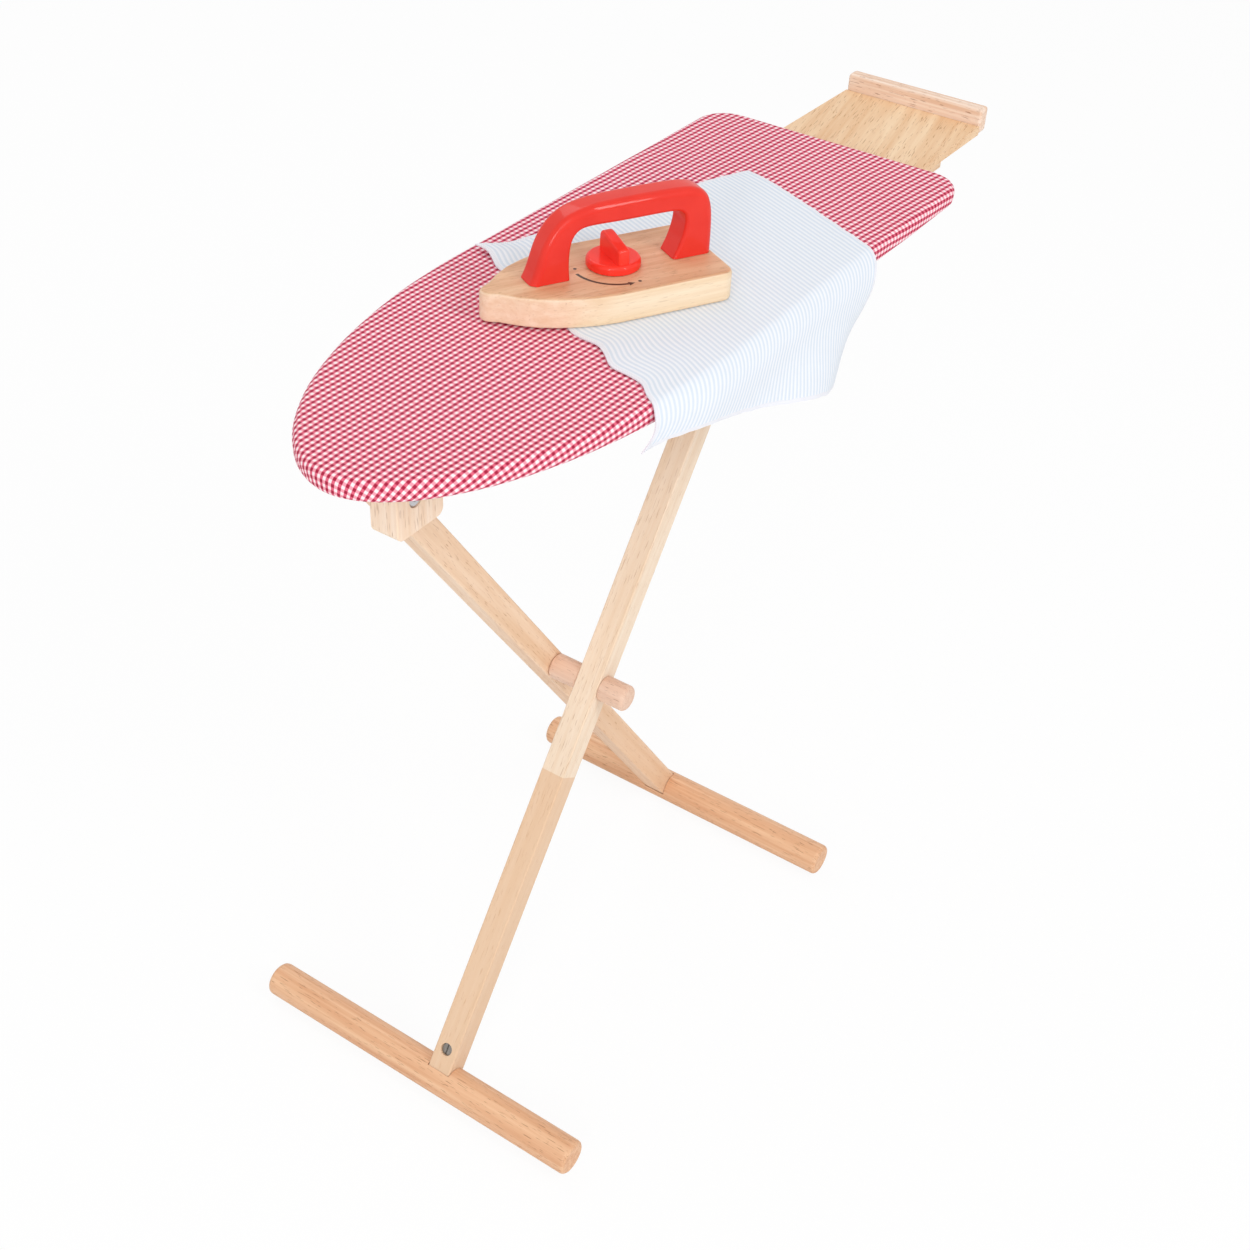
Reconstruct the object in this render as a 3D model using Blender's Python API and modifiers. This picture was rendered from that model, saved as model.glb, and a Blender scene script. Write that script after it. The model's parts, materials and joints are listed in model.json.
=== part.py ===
import math

import bmesh
import bpy
from mathutils import Matrix, Vector

# Toy ironing board on crossed wooden legs, with tray, cloth and toy iron.
# World frame: floor at z = 0, tray towards +X, loose cloth hanging at -Y.

# General sizes, in metres
GAP = 0.0003
OVERRUN = 0.004
EASE = 0.0008
ROUND_STEPS = 24
FINE_STEPS = 32
ARC_STEPS = 6
WELD_DISTANCE = 0.00001

# Board, pad and cover
BOARD_LENGTH = 0.5766
BOARD_WIDTH = 0.217
NOSE_LENGTH = 0.247
NOSE_POWER = 1.93
NOSE_STEPS = 20
REAR_CORNER_RADIUS = 0.026
FOLD_CORNER_RADIUS = 0.005
CORE_THICKNESS = 0.0065
PAD_THICKNESS = 0.0045
COVER_THICKNESS = 0.001
COVER_TOP_RADIUS = 0.0055
COVER_RIM_RADIUS = 0.005
RIM_WIDTH = 0.028
HEM_RADIUS = 0.0014

# Tray
TRAY_REACH = 0.141
TRAY_WIDTH = 0.120
TRAY_THICKNESS = 0.007
TRAY_UNDERLAP = 0.082
LIP_THICKNESS = 0.0128
LIP_RISE = 0.0131
LIP_ROUNDING = 0.0025
TRAY_SCREW_INSET = 0.017
TRAY_SCREW_PITCH = 0.050
TRAY_SCREW_LENGTH = 0.012

# Nose block and its pivot bolt
PIVOT_SETBACK = 0.064
PIVOT_DROP = 0.0456
BLOCK_WIDTH = 0.021
BLOCK_AHEAD = 0.0168
BLOCK_BEHIND = 0.0251
BLOCK_BELOW = 0.0235
BLOCK_CORNER = 0.006
BLOCK_SCREW_LENGTH = 0.032
BLOCK_SCREW_INSET = 0.0085
BOLT_RADIUS = 0.003
BORE_CLEARANCE = 0.0004
BOLT_HEAD_RADIUS = 0.0055
BOLT_HEAD_HEIGHT = 0.0032
SOCKET_RADIUS = 0.002
SOCKET_DEPTH = 0.0018
HEAD_RECESS = 0.0005
WASHER_RADIUS = 0.0062
WASHER_THICKNESS = 0.001
NUT_RADIUS = 0.0056
NUT_HEIGHT = 0.0048
NUT_SIDES = 6
BOLT_TAIL = 0.0015

# Legs and feet
LEG_ANGLE = math.radians(55.07)
LEG_WIDTH = 0.019
LEG_DEPTH = 0.020
UPPER_ARM = 0.3064
LOWER_ARM = 0.32165
FOOT_RADIUS = 0.01325
FOOT_LENGTH = 0.285
FOOT_END_ROUNDING = 0.0032
FOOT_POCKET = 0.0062
NOTCH_CLEARANCE = 0.0004
BARREL_RADIUS = 0.0045
BARREL_LENGTH = 0.0135
BARREL_RECESS = 0.0018
BARREL_HEIGHT = 0.0256
BARREL_SLOT_WIDTH = 0.0012
BARREL_SLOT_DEPTH = 0.001
FOOT_BOLT_RADIUS = 0.0025
FOOT_HEAD_RADIUS = 0.0043
FOOT_HEAD_HEIGHT = 0.0028
FOOT_HEAD_RECESS = 0.0008

# Crossing
SPACER_RADIUS = 0.00975
KNOB_RADIUS = 0.00985
KNOB_LENGTH = 0.0214
KNOB_ROUNDING = 0.003
INSERT_RADIUS = 0.0048
INSERT_LENGTH = 0.010
KNOB_BORE_END = 0.0155
BOLT_END_CLEARANCE = 0.002

# Guide channel for the top of the near leg
GUIDE_WALL = 0.006
GUIDE_SIDE_CLEARANCE = 0.0005
GUIDE_SKIRT = 0.0145
GUIDE_AHEAD = 0.018
GUIDE_LENGTH = 0.296
GUIDE_STOP_DROP = 0.0062
GUIDE_SCREW_LENGTH = 0.0272
GUIDE_SHORT_SCREW_LENGTH = 0.020
GUIDE_FRONT_SCREW = 0.030
GUIDE_SECOND_SCREW = 0.075
GUIDE_REAR_SCREW = 0.020

# Wood screws
SCREW_HEAD_RADIUS = 0.0034
SCREW_HEAD_HEIGHT = 0.0024
SCREW_RADIUS = 0.0016
SCREW_TIP = 0.003
SCREW_CLEARANCE = 0.0003

# Iron
IRON_LENGTH = 0.159
IRON_WIDTH = 0.076
IRON_THICKNESS = 0.020
IRON_NOSE_LENGTH = 0.077
IRON_REAR_RADIUS = 0.008
IRON_EDGE_ROUNDING = 0.0022
IRON_HEADING = math.radians(-28.5)
IRON_NOSE_X = 0.1858
IRON_NOSE_Y = 0.0372
HANDLE_WIDTH = 0.0195
HANDLE_HEIGHT = 0.0472
HANDLE_EDGE_ROUNDING = 0.0028
HANDLE_SCREW_FRONT = 0.046
HANDLE_SCREW_REAR = 0.1445
HANDLE_SCREW_LENGTH = 0.030
DIAL_X = 0.091
DIAL_RADIUS = 0.0175
DIAL_THICKNESS = 0.006
DIAL_ROUNDING = 0.0012
DIAL_GRIP_WIDTH = 0.0075
DIAL_GRIP_HEIGHT = 0.0135
DIAL_GRIP_LOW_HEIGHT = 0.0100
DIAL_GRIP_FAR = 0.0128
DIAL_GRIP_NEAR = 0.0150
DIAL_GRIP_ROUNDING = 0.0025
DIAL_PIN_RADIUS = 0.003
DIAL_PIN_LENGTH = 0.010

# Loose striped cloth
CLOTH_THICKNESS = 0.001
CLOTH_WIDTH = 0.248
CLOTH_LENGTH = 0.236
CLOTH_CORNER_X = 0.263
CLOTH_CORNER_Y = 0.0955
CLOTH_ACROSS_ANGLE = math.radians(-17.8)
CLOTH_DOWN_ANGLE = math.radians(-117.2)
CLOTH_BEND_RADIUS = 0.012
CLOTH_FOLD_DEPTH = 0.0075
CLOTH_FOLD_PITCH = 0.088
CLOTH_FOLD_START = 0.055
CLOTH_FOLD_RAMP = 0.060
CLOTH_COLUMNS = 27
CLOTH_TOP_ROWS = 7
CLOTH_BEND_ROWS = 5
CLOTH_HANG_ROWS = 7

# Shares, chosen by hand, of the sizes they follow
IRON_NOSE_WIDTH_SHARES = (
    (0.0, 0.0), (0.012, 0.085), (0.045, 0.150), (0.117, 0.235), (0.234, 0.455),
    (0.364, 0.640), (0.506, 0.775), (0.662, 0.885), (0.825, 0.960), (1.0, 1.0),
)
HANDLE_OUTER_SHARES = (
    (0.189, 0.0), (0.208, 0.11), (0.226, 0.318), (0.245, 0.508), (0.275, 0.675),
    (0.308, 0.797), (0.358, 0.911), (0.444, 0.975), (0.528, 0.992), (0.704, 1.0),
    (0.88, 0.983), (0.928, 0.93), (0.962, 0.835), (0.980, 0.66), (0.985, 0.40),
    (0.987, 0.0),
)
HANDLE_INNER_SHARES = (
    (0.811, 0.0), (0.828, 0.09), (0.852, 0.328), (0.861, 0.50), (0.853, 0.635),
    (0.826, 0.69), (0.698, 0.697), (0.566, 0.692), (0.459, 0.706), (0.415, 0.69),
    (0.377, 0.636), (0.357, 0.538), (0.352, 0.403), (0.352, 0.19), (0.357, 0.0),
)

# Places worked out from the sizes above
OVERALL_LENGTH = BOARD_LENGTH + TRAY_REACH
LEG_LENGTH = UPPER_ARM + LOWER_ARM
PIVOT_Z = FOOT_RADIUS + LEG_LENGTH * math.sin(LEG_ANGLE)
TOP_HEIGHT = PIVOT_Z + PIVOT_DROP
NOSE_X = -OVERALL_LENGTH / 2
REAR_X = NOSE_X + BOARD_LENGTH
PIVOT_X = NOSE_X + PIVOT_SETBACK
CORE_INSET = COVER_THICKNESS + GAP
PAD_TOP = TOP_HEIGHT - COVER_THICKNESS - GAP
PAD_BOTTOM = PAD_TOP - PAD_THICKNESS
CORE_TOP = PAD_BOTTOM - GAP
CORE_BOTTOM = CORE_TOP - CORE_THICKNESS
RIM_TOP = CORE_BOTTOM - GAP
RIM_BOTTOM = RIM_TOP - COVER_THICKNESS
TRAY_TOP = CORE_BOTTOM - GAP
TRAY_BOTTOM = TRAY_TOP - TRAY_THICKNESS
LIP_END_X = NOSE_X + OVERALL_LENGTH
LIP_X = LIP_END_X - LIP_THICKNESS
TRAY_X = REAR_X - TRAY_UNDERLAP
PIVOT_GAP = WASHER_THICKNESS + 2 * GAP
LEG_Y = BLOCK_WIDTH / 2 + PIVOT_GAP + LEG_WIDTH / 2
LEG_INNER = LEG_Y - LEG_WIDTH / 2
LEG_OUTER = LEG_Y + LEG_WIDTH / 2
LEG_TOP_X = PIVOT_X + 2 * UPPER_ARM * math.cos(LEG_ANGLE)
BORE_RADIUS = BOLT_RADIUS + BORE_CLEARANCE
IRON_BOTTOM = TOP_HEIGHT + GAP + CLOTH_THICKNESS + GAP
COLLECTION = "toy_ironing_board"


for old in list(bpy.data.objects):
    bpy.data.objects.remove(old, do_unlink=True)
parts = bpy.data.collections.new(COLLECTION)
cutters = bpy.data.collections.new("cutters")
bpy.context.scene.collection.children.link(parts)
bpy.context.scene.collection.children.link(cutters)


def make_material(name, colour, roughness, metallic=0.0):
    material = bpy.data.materials.new(name)
    material.use_nodes = True
    shader = material.node_tree.nodes["Principled BSDF"]
    shader.inputs["Base Color"].default_value = (*colour, 1.0)
    shader.inputs["Roughness"].default_value = roughness
    shader.inputs["Metallic"].default_value = metallic
    material.diffuse_color = (*colour, 1.0)
    return material


MATERIALS = {
    "gingham": make_material("gingham", (0.78, 0.22, 0.28), 0.85),
    "felt": make_material("felt", (0.86, 0.84, 0.80), 0.95),
    "panel": make_material("panel", (0.62, 0.45, 0.28), 0.80),
    "beech": make_material("beech", (0.83, 0.62, 0.42), 0.55),
    "pale_wood": make_material("pale_wood", (0.86, 0.68, 0.50), 0.55),
    "foot_wood": make_material("foot_wood", (0.80, 0.55, 0.36), 0.55),
    "knob_wood": make_material("knob_wood", (0.75, 0.50, 0.38), 0.60),
    "lip_wood": make_material("lip_wood", (0.82, 0.60, 0.46), 0.55),
    "steel": make_material("steel", (0.70, 0.70, 0.72), 0.30, 1.0),
    "brass": make_material("brass", (0.72, 0.55, 0.25), 0.35, 1.0),
    "red_lacquer": make_material("red_lacquer", (0.82, 0.06, 0.04), 0.22),
    "striped_cloth": make_material("striped_cloth", (0.82, 0.88, 0.93), 0.90),
}


def make_empty(name, place, parent=None, turn=0.0, axis="Y"):
    empty = bpy.data.objects.new(name, None)
    parts.objects.link(empty)
    empty.location = place
    empty.rotation_euler = Matrix.Rotation(turn, 3, axis).to_euler()
    empty.parent = parent
    return empty


def finish(name, bm, material=None, parent=None, smooth=True):
    bmesh.ops.recalc_face_normals(bm, faces=bm.faces)
    mesh = bpy.data.meshes.new(name)
    bm.to_mesh(mesh)
    bm.free()
    if smooth:
        mesh.shade_smooth()
        mesh.set_sharp_from_angle(angle=math.radians(30))
    shape = bpy.data.objects.new(name, mesh)
    if material is None:
        cutters.objects.link(shape)
        shape.hide_render = True
        shape.display_type = "WIRE"
    else:
        parts.objects.link(shape)
        mesh.materials.append(MATERIALS[material])
    shape.parent = parent
    return shape


def box(name, low, high, material=None, parent=None):
    bm = bmesh.new()
    bmesh.ops.create_cube(bm, size=1.0)
    low, high = Vector(low), Vector(high)
    for vert in bm.verts:
        for axis in range(3):
            vert.co[axis] = low[axis] if vert.co[axis] < 0 else high[axis]
    return finish(name, bm, material, parent, smooth=False)


def frame_along(start, direction):
    turn = Vector((0, 0, 1)).rotation_difference(Vector(direction)).to_matrix().to_4x4()
    return Matrix.Translation(start) @ turn


def rod(name, start, direction, length, radius, material=None, parent=None,
        steps=ROUND_STEPS):
    bm = bmesh.new()
    bmesh.ops.create_cone(bm, cap_ends=True, segments=steps, radius1=radius,
                          radius2=radius, depth=length)
    bmesh.ops.translate(bm, verts=bm.verts, vec=(0, 0, length / 2))
    bmesh.ops.transform(bm, matrix=frame_along(start, direction), verts=bm.verts)
    return finish(name, bm, material, parent)


def turned(name, profile, start, direction, material=None, parent=None,
           steps=ROUND_STEPS):
    """A profile of (radius, height) points, from the top down its outer side."""
    bm = bmesh.new()
    last = None
    for radius, height in profile:
        vert = bm.verts.new((radius, 0, height))
        if last:
            bm.edges.new((last, vert))
        last = vert
    bmesh.ops.spin(bm, geom=bm.verts[:] + bm.edges[:], cent=(0, 0, 0),
                   axis=(0, 0, 1), angle=math.tau, steps=steps, use_merge=True)
    bmesh.ops.remove_doubles(bm, verts=bm.verts, dist=WELD_DISTANCE)
    bmesh.ops.transform(bm, matrix=frame_along(start, direction), verts=bm.verts)
    return finish(name, bm, material, parent)


def solid_from(name, curve, place, material, parent, flat_angle):
    """A curve's own solid as a mesh, its caps welded to its sides."""
    guide = bpy.data.objects.new(name + "_guide", curve)
    cutters.objects.link(guide)
    bpy.context.view_layer.update()
    mesh = bpy.data.meshes.new_from_object(
        guide.evaluated_get(bpy.context.evaluated_depsgraph_get()))
    bpy.data.objects.remove(guide, do_unlink=True)
    bpy.data.curves.remove(curve)
    bm = bmesh.new()
    bm.from_mesh(mesh)
    bpy.data.meshes.remove(mesh)
    bmesh.ops.remove_doubles(bm, verts=bm.verts, dist=WELD_DISTANCE)
    bmesh.ops.dissolve_limit(bm, angle_limit=flat_angle, verts=bm.verts, edges=bm.edges)
    bmesh.ops.transform(bm, matrix=place, verts=bm.verts)
    return finish(name, bm, material, parent)


def tube(name, route, radius, material, parent=None):
    curve = bpy.data.curves.new(name + "_route", "CURVE")
    curve.dimensions = "3D"
    curve.use_fill_caps = True
    curve.bevel_depth = radius
    curve.bevel_resolution = 1
    spline = curve.splines.new("POLY")
    spline.points.add(len(route) - 1)
    for point, place in zip(spline.points, route):
        point.co = (*place, 1)
    return solid_from(name, curve, Matrix.Identity(4), material, parent, 0.0)


def extruded(name, outline, depth, place=Matrix.Identity(4), material=None,
             parent=None):
    """A flat outline as a filled curve, extruded half its depth to each side."""
    curve = bpy.data.curves.new(name + "_outline", "CURVE")
    curve.dimensions = "2D"
    curve.fill_mode = "BOTH"
    curve.extrude = depth / 2
    spline = curve.splines.new("POLY")
    spline.points.add(len(outline) - 1)
    for point, (across, up) in zip(spline.points, outline):
        point.co = (across, up, 0, 1)
    spline.use_cyclic_u = True
    return solid_from(name, curve, place, material, parent, math.radians(1))


def cut(target, *tools):
    for tool in tools:
        modifier = target.modifiers.new("cut " + tool.name, "BOOLEAN")
        modifier.operation = "DIFFERENCE"
        modifier.object = tool
    return target


def join(target, *tools):
    for tool in tools:
        modifier = target.modifiers.new("join " + tool.name, "BOOLEAN")
        modifier.operation = "UNION"
        modifier.object = tool
    return target


def soften(target, width, segments=1, limit=math.radians(50)):
    modifier = target.modifiers.new("eased edges", "BEVEL")
    modifier.width = width
    modifier.segments = segments
    modifier.limit_method = "ANGLE"
    modifier.angle_limit = limit
    return target


def soften_marked(target, width, segments, wanted):
    """Rounds only the edges between the two places that the test picks."""
    weights = target.data.attributes.new("bevel_weight_edge", "FLOAT", "EDGE")
    for edge in target.data.edges:
        first, second = (target.data.vertices[index].co for index in edge.vertices)
        weights.data[edge.index].value = 1.0 if wanted(first, second) else 0.0
    soften(target, width, segments).modifiers["eased edges"].limit_method = "WEIGHT"


def half_width(x):
    """Half the board's width at x."""
    share = min(max((x - NOSE_X) / NOSE_LENGTH, 0.0), 1.0)
    return BOARD_WIDTH / 2 * (1 - (1 - share) ** NOSE_POWER) ** (1 / NOSE_POWER)


def board_side(inset):
    """One side of the board seen from above: the nose's curve, then the corner."""
    half = BOARD_WIDTH / 2 - inset
    nose = NOSE_LENGTH - inset
    corner = max(REAR_CORNER_RADIUS - inset, FOLD_CORNER_RADIUS)
    rear = REAR_X - inset
    side = []
    for step in range(1, NOSE_STEPS + 1):
        turn = math.pi / 2 * step / NOSE_STEPS
        x = NOSE_X + NOSE_LENGTH - nose * math.cos(turn) ** (2 / NOSE_POWER)
        side.append((x, half * math.sin(turn) ** (2 / NOSE_POWER)))
    for step in range(ARC_STEPS + 1):
        turn = math.pi / 2 * step / ARC_STEPS
        side.append((rear - corner + corner * math.sin(turn),
                     half - corner + corner * math.cos(turn)))
    return side


def board_outline(inset):
    """The whole outline: rounded nose, straight sides and rounded rear corners."""
    side = board_side(inset)
    near = [(x, -y) for x, y in side]
    return [(NOSE_X + inset, 0.0)] + near + side[::-1]


def ring_body(name, rings, material, outline=board_outline):
    """A closed body through rings, each an inset outline at its height."""
    bm = bmesh.new()
    loops = []
    for inset, height in rings:
        loops.append([bm.verts.new((x, y, height)) for x, y in outline(inset)])
    count = len(loops[0])
    bm.faces.new(loops[0])
    bm.faces.new(loops[-1])
    for upper, lower in zip(loops, loops[1:]):
        for index in range(count):
            after = (index + 1) % count
            bm.faces.new((upper[index], upper[after], lower[after], lower[index]))
    return finish(name, bm, material)


def rounded(radius, inset, height, begin, end, steps=3):
    """Rings round an edge whose centre lies a radius in and a radius down."""
    found = []
    for step in range(steps + 1):
        turn = begin + (end - begin) * step / steps
        found.append((inset + radius - radius * math.cos(turn),
                      height + radius * math.sin(turn)))
    return found


def wood_screw(name, head, direction, length, parent=None):
    """A countersunk screw whose head's face lies at the given place."""
    profile = (
        (0, 0), (SCREW_HEAD_RADIUS, 0), (SCREW_RADIUS, -SCREW_HEAD_HEIGHT),
        (SCREW_RADIUS, SCREW_TIP - length), (0, -length),
    )
    return turned(name, profile, head, [-part for part in direction], "steel",
                  parent, steps=ROUND_STEPS // 2)


def screw_hole(name, head, direction, length, parent=None):
    wide = SCREW_RADIUS + SCREW_CLEARANCE
    profile = (
        (0, OVERRUN), (SCREW_HEAD_RADIUS + SCREW_CLEARANCE, OVERRUN),
        (SCREW_HEAD_RADIUS + SCREW_CLEARANCE, 0), (wide, -SCREW_HEAD_HEIGHT),
        (wide, -length - SCREW_CLEARANCE), (0, -length - SCREW_CLEARANCE),
    )
    return turned(name, profile, head, [-part for part in direction], None,
                  parent, steps=ROUND_STEPS // 2)


def washer(name, start, parent=None):
    """A flat washer lying on its low-y face."""
    body = rod(name, start, (0, 1, 0), WASHER_THICKNESS, WASHER_RADIUS, "steel", parent)
    low = Vector(start) - Vector((0, OVERRUN, 0))
    hole = rod(name + "_hole", low, (0, 1, 0), WASHER_THICKNESS + 2 * OVERRUN,
               BORE_RADIUS, None, parent)
    return cut(body, hole)


def bolt(name, head, direction, length, parent=None, radius=BOLT_RADIUS,
         head_radius=BOLT_HEAD_RADIUS, head_height=BOLT_HEAD_HEIGHT):
    """A round-headed bolt with a socket; its head's face lies at the place."""
    profile = (
        (0, -SOCKET_DEPTH), (SOCKET_RADIUS, -SOCKET_DEPTH), (SOCKET_RADIUS, 0),
        (head_radius - EASE, 0), (head_radius, -EASE), (head_radius, -head_height),
        (radius, -head_height), (radius, -length), (0, -length),
    )
    return turned(name, profile, head, [-part for part in direction], "steel",
                  parent)


# Board: core panel, pad and fabric cover
CORE_ROUNDING = COVER_RIM_RADIUS - CORE_INSET
core = ring_body("board_core", [(CORE_INSET, CORE_TOP)] + rounded(
    CORE_ROUNDING, CORE_INSET, CORE_BOTTOM + CORE_ROUNDING, 0, -math.pi / 2,
), "panel")
PAD_ROUNDING = COVER_TOP_RADIUS - CORE_INSET
pad = ring_body("foam_pad", rounded(
    PAD_ROUNDING, CORE_INSET, PAD_TOP - PAD_ROUNDING, math.pi / 2, 0,
) + [(CORE_INSET, PAD_BOTTOM)], "felt")
INNER_TOP_RADIUS = COVER_TOP_RADIUS - COVER_THICKNESS
INNER_RIM_RADIUS = COVER_RIM_RADIUS - COVER_THICKNESS
cover = ring_body("gingham_cover", rounded(
    COVER_TOP_RADIUS, 0.0, TOP_HEIGHT - COVER_TOP_RADIUS, math.pi / 2, 0,
) + rounded(
    COVER_RIM_RADIUS, 0.0, RIM_BOTTOM + COVER_RIM_RADIUS, 0, -math.pi / 2,
) + [(RIM_WIDTH, RIM_BOTTOM), (RIM_WIDTH, RIM_TOP)] + rounded(
    INNER_RIM_RADIUS, COVER_THICKNESS, RIM_TOP + INNER_RIM_RADIUS, -math.pi / 2, 0,
) + rounded(
    INNER_TOP_RADIUS, COVER_THICKNESS, TOP_HEIGHT - COVER_TOP_RADIUS, 0, math.pi / 2,
), "gingham")

# The turned-under rim is cut away where the tray passes below the core
tray_passage = box("tray_passage", (
    TRAY_X - GAP, -TRAY_WIDTH / 2 - GAP, RIM_BOTTOM - OVERRUN,
), (
    REAR_X + OVERRUN, TRAY_WIDTH / 2 + GAP, TRAY_TOP + GAP,
))
cut(cover, tray_passage)

# Elastic hem along the rim's inner edge, its ends at the tray's two sides
HEM_INSET = RIM_WIDTH + GAP + HEM_RADIUS
HEM_END_Y = TRAY_WIDTH / 2 + GAP + HEM_RADIUS
hem_side = board_side(HEM_INSET) + [(REAR_X - HEM_INSET, HEM_END_Y)]
tube("elastic_hem", [(x, y, RIM_TOP - HEM_RADIUS) for x, y in hem_side[::-1]]
     + [(NOSE_X + HEM_INSET, 0, RIM_TOP - HEM_RADIUS)]
     + [(x, -y, RIM_TOP - HEM_RADIUS) for x, y in hem_side], HEM_RADIUS, "gingham")

# Tray plate and its lip
plate = box("tray_plate", (TRAY_X, -TRAY_WIDTH / 2, TRAY_BOTTOM),
            (LIP_X - GAP, TRAY_WIDTH / 2, TRAY_TOP), "pale_wood")
lip = box("tray_lip", (LIP_X, -TRAY_WIDTH / 2, TRAY_BOTTOM),
          (LIP_END_X, TRAY_WIDTH / 2, TRAY_TOP + LIP_RISE), "lip_wood")
soften(lip, LIP_ROUNDING, 2)
for side in (-1, 1):
    for row in (0, 1):
        name = "tray_screw_" + ("near" if side < 0 else "far") + "_" + str(row + 1)
        spot = (TRAY_X + TRAY_SCREW_INSET + row * TRAY_SCREW_PITCH,
                side * (TRAY_WIDTH / 2 - TRAY_SCREW_INSET), TRAY_BOTTOM + SCREW_CLEARANCE)
        wood_screw(name, spot, (0, 0, 1), TRAY_SCREW_LENGTH)
        hole = screw_hole(name + "_hole", spot, (0, 0, 1), TRAY_SCREW_LENGTH)
        cut(plate, hole)
        cut(core, hole)

# Nose block under the core
block_outline = []
for corner_x, corner_z, first in (
    (PIVOT_X + BLOCK_BEHIND - BLOCK_CORNER, PIVOT_Z - BLOCK_BELOW + BLOCK_CORNER, 0),
    (PIVOT_X - BLOCK_AHEAD + BLOCK_CORNER, PIVOT_Z - BLOCK_BELOW + BLOCK_CORNER, -1),
):
    for step in range(ARC_STEPS + 1):
        turn = math.pi / 2 * (first - step / ARC_STEPS)
        block_outline.append((corner_x + BLOCK_CORNER * math.cos(turn),
                              corner_z + BLOCK_CORNER * math.sin(turn)))
block_outline.append((PIVOT_X - BLOCK_AHEAD, CORE_BOTTOM - GAP))
block_outline.append((PIVOT_X + BLOCK_BEHIND, CORE_BOTTOM - GAP))
SIDE_VIEW = Matrix.Rotation(math.pi / 2, 4, "X")
block = extruded("nose_block", block_outline, BLOCK_WIDTH, SIDE_VIEW, "beech")
soften(block, EASE)
head_y = -BLOCK_WIDTH / 2 + HEAD_RECESS
nose_hole = (
    (0, OVERRUN), (BOLT_HEAD_RADIUS + GAP, OVERRUN),
    (BOLT_HEAD_RADIUS + GAP, -BOLT_HEAD_HEIGHT - GAP),
    (BORE_RADIUS, -BOLT_HEAD_HEIGHT - GAP), (BORE_RADIUS, -2 * BLOCK_WIDTH),
    (0, -2 * BLOCK_WIDTH),
)
cut(block, turned("nose_hole", nose_hole, (PIVOT_X, head_y, PIVOT_Z), (0, -1, 0)))
for place, inset in (("front", BLOCK_SCREW_INSET - BLOCK_AHEAD),
                     ("rear", BLOCK_BEHIND - BLOCK_SCREW_INSET)):
    spot = (PIVOT_X + inset, 0, CORE_TOP - SCREW_CLEARANCE)
    wood_screw("block_screw_" + place, spot, (0, 0, -1), BLOCK_SCREW_LENGTH)
    hole = screw_hole("block_screw_hole_" + place, spot, (0, 0, -1), BLOCK_SCREW_LENGTH)
    cut(core, hole)
    cut(block, hole)
NUT_Y = LEG_OUTER + WASHER_THICKNESS + 2 * GAP
bolt("nose_bolt", (PIVOT_X, head_y, PIVOT_Z), (0, 1, 0),
     NUT_Y + NUT_HEIGHT + BOLT_TAIL - head_y)
washer("nose_inner_washer", (PIVOT_X, BLOCK_WIDTH / 2 + GAP, PIVOT_Z))
washer("nose_outer_washer", (PIVOT_X, LEG_OUTER + GAP, PIVOT_Z))
nut = rod("nose_nut", (PIVOT_X, NUT_Y, PIVOT_Z), (0, 1, 0), NUT_HEIGHT, NUT_RADIUS,
          "steel", steps=NUT_SIDES)
cut(nut, rod("nose_nut_bore", (PIVOT_X, NUT_Y - OVERRUN, PIVOT_Z), (0, 1, 0),
             NUT_HEIGHT + 2 * OVERRUN, BOLT_RADIUS + GAP))

# Two equal legs: the far one hangs from the nose bolt, the near one crosses it
fold_axis = make_empty("fold_axis", (PIVOT_X, 0, PIVOT_Z), turn=LEG_ANGLE)
scissor_axis = make_empty("scissor_axis", (UPPER_ARM, 0, 0), fold_axis,
                          turn=-2 * LEG_ANGLE)


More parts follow.
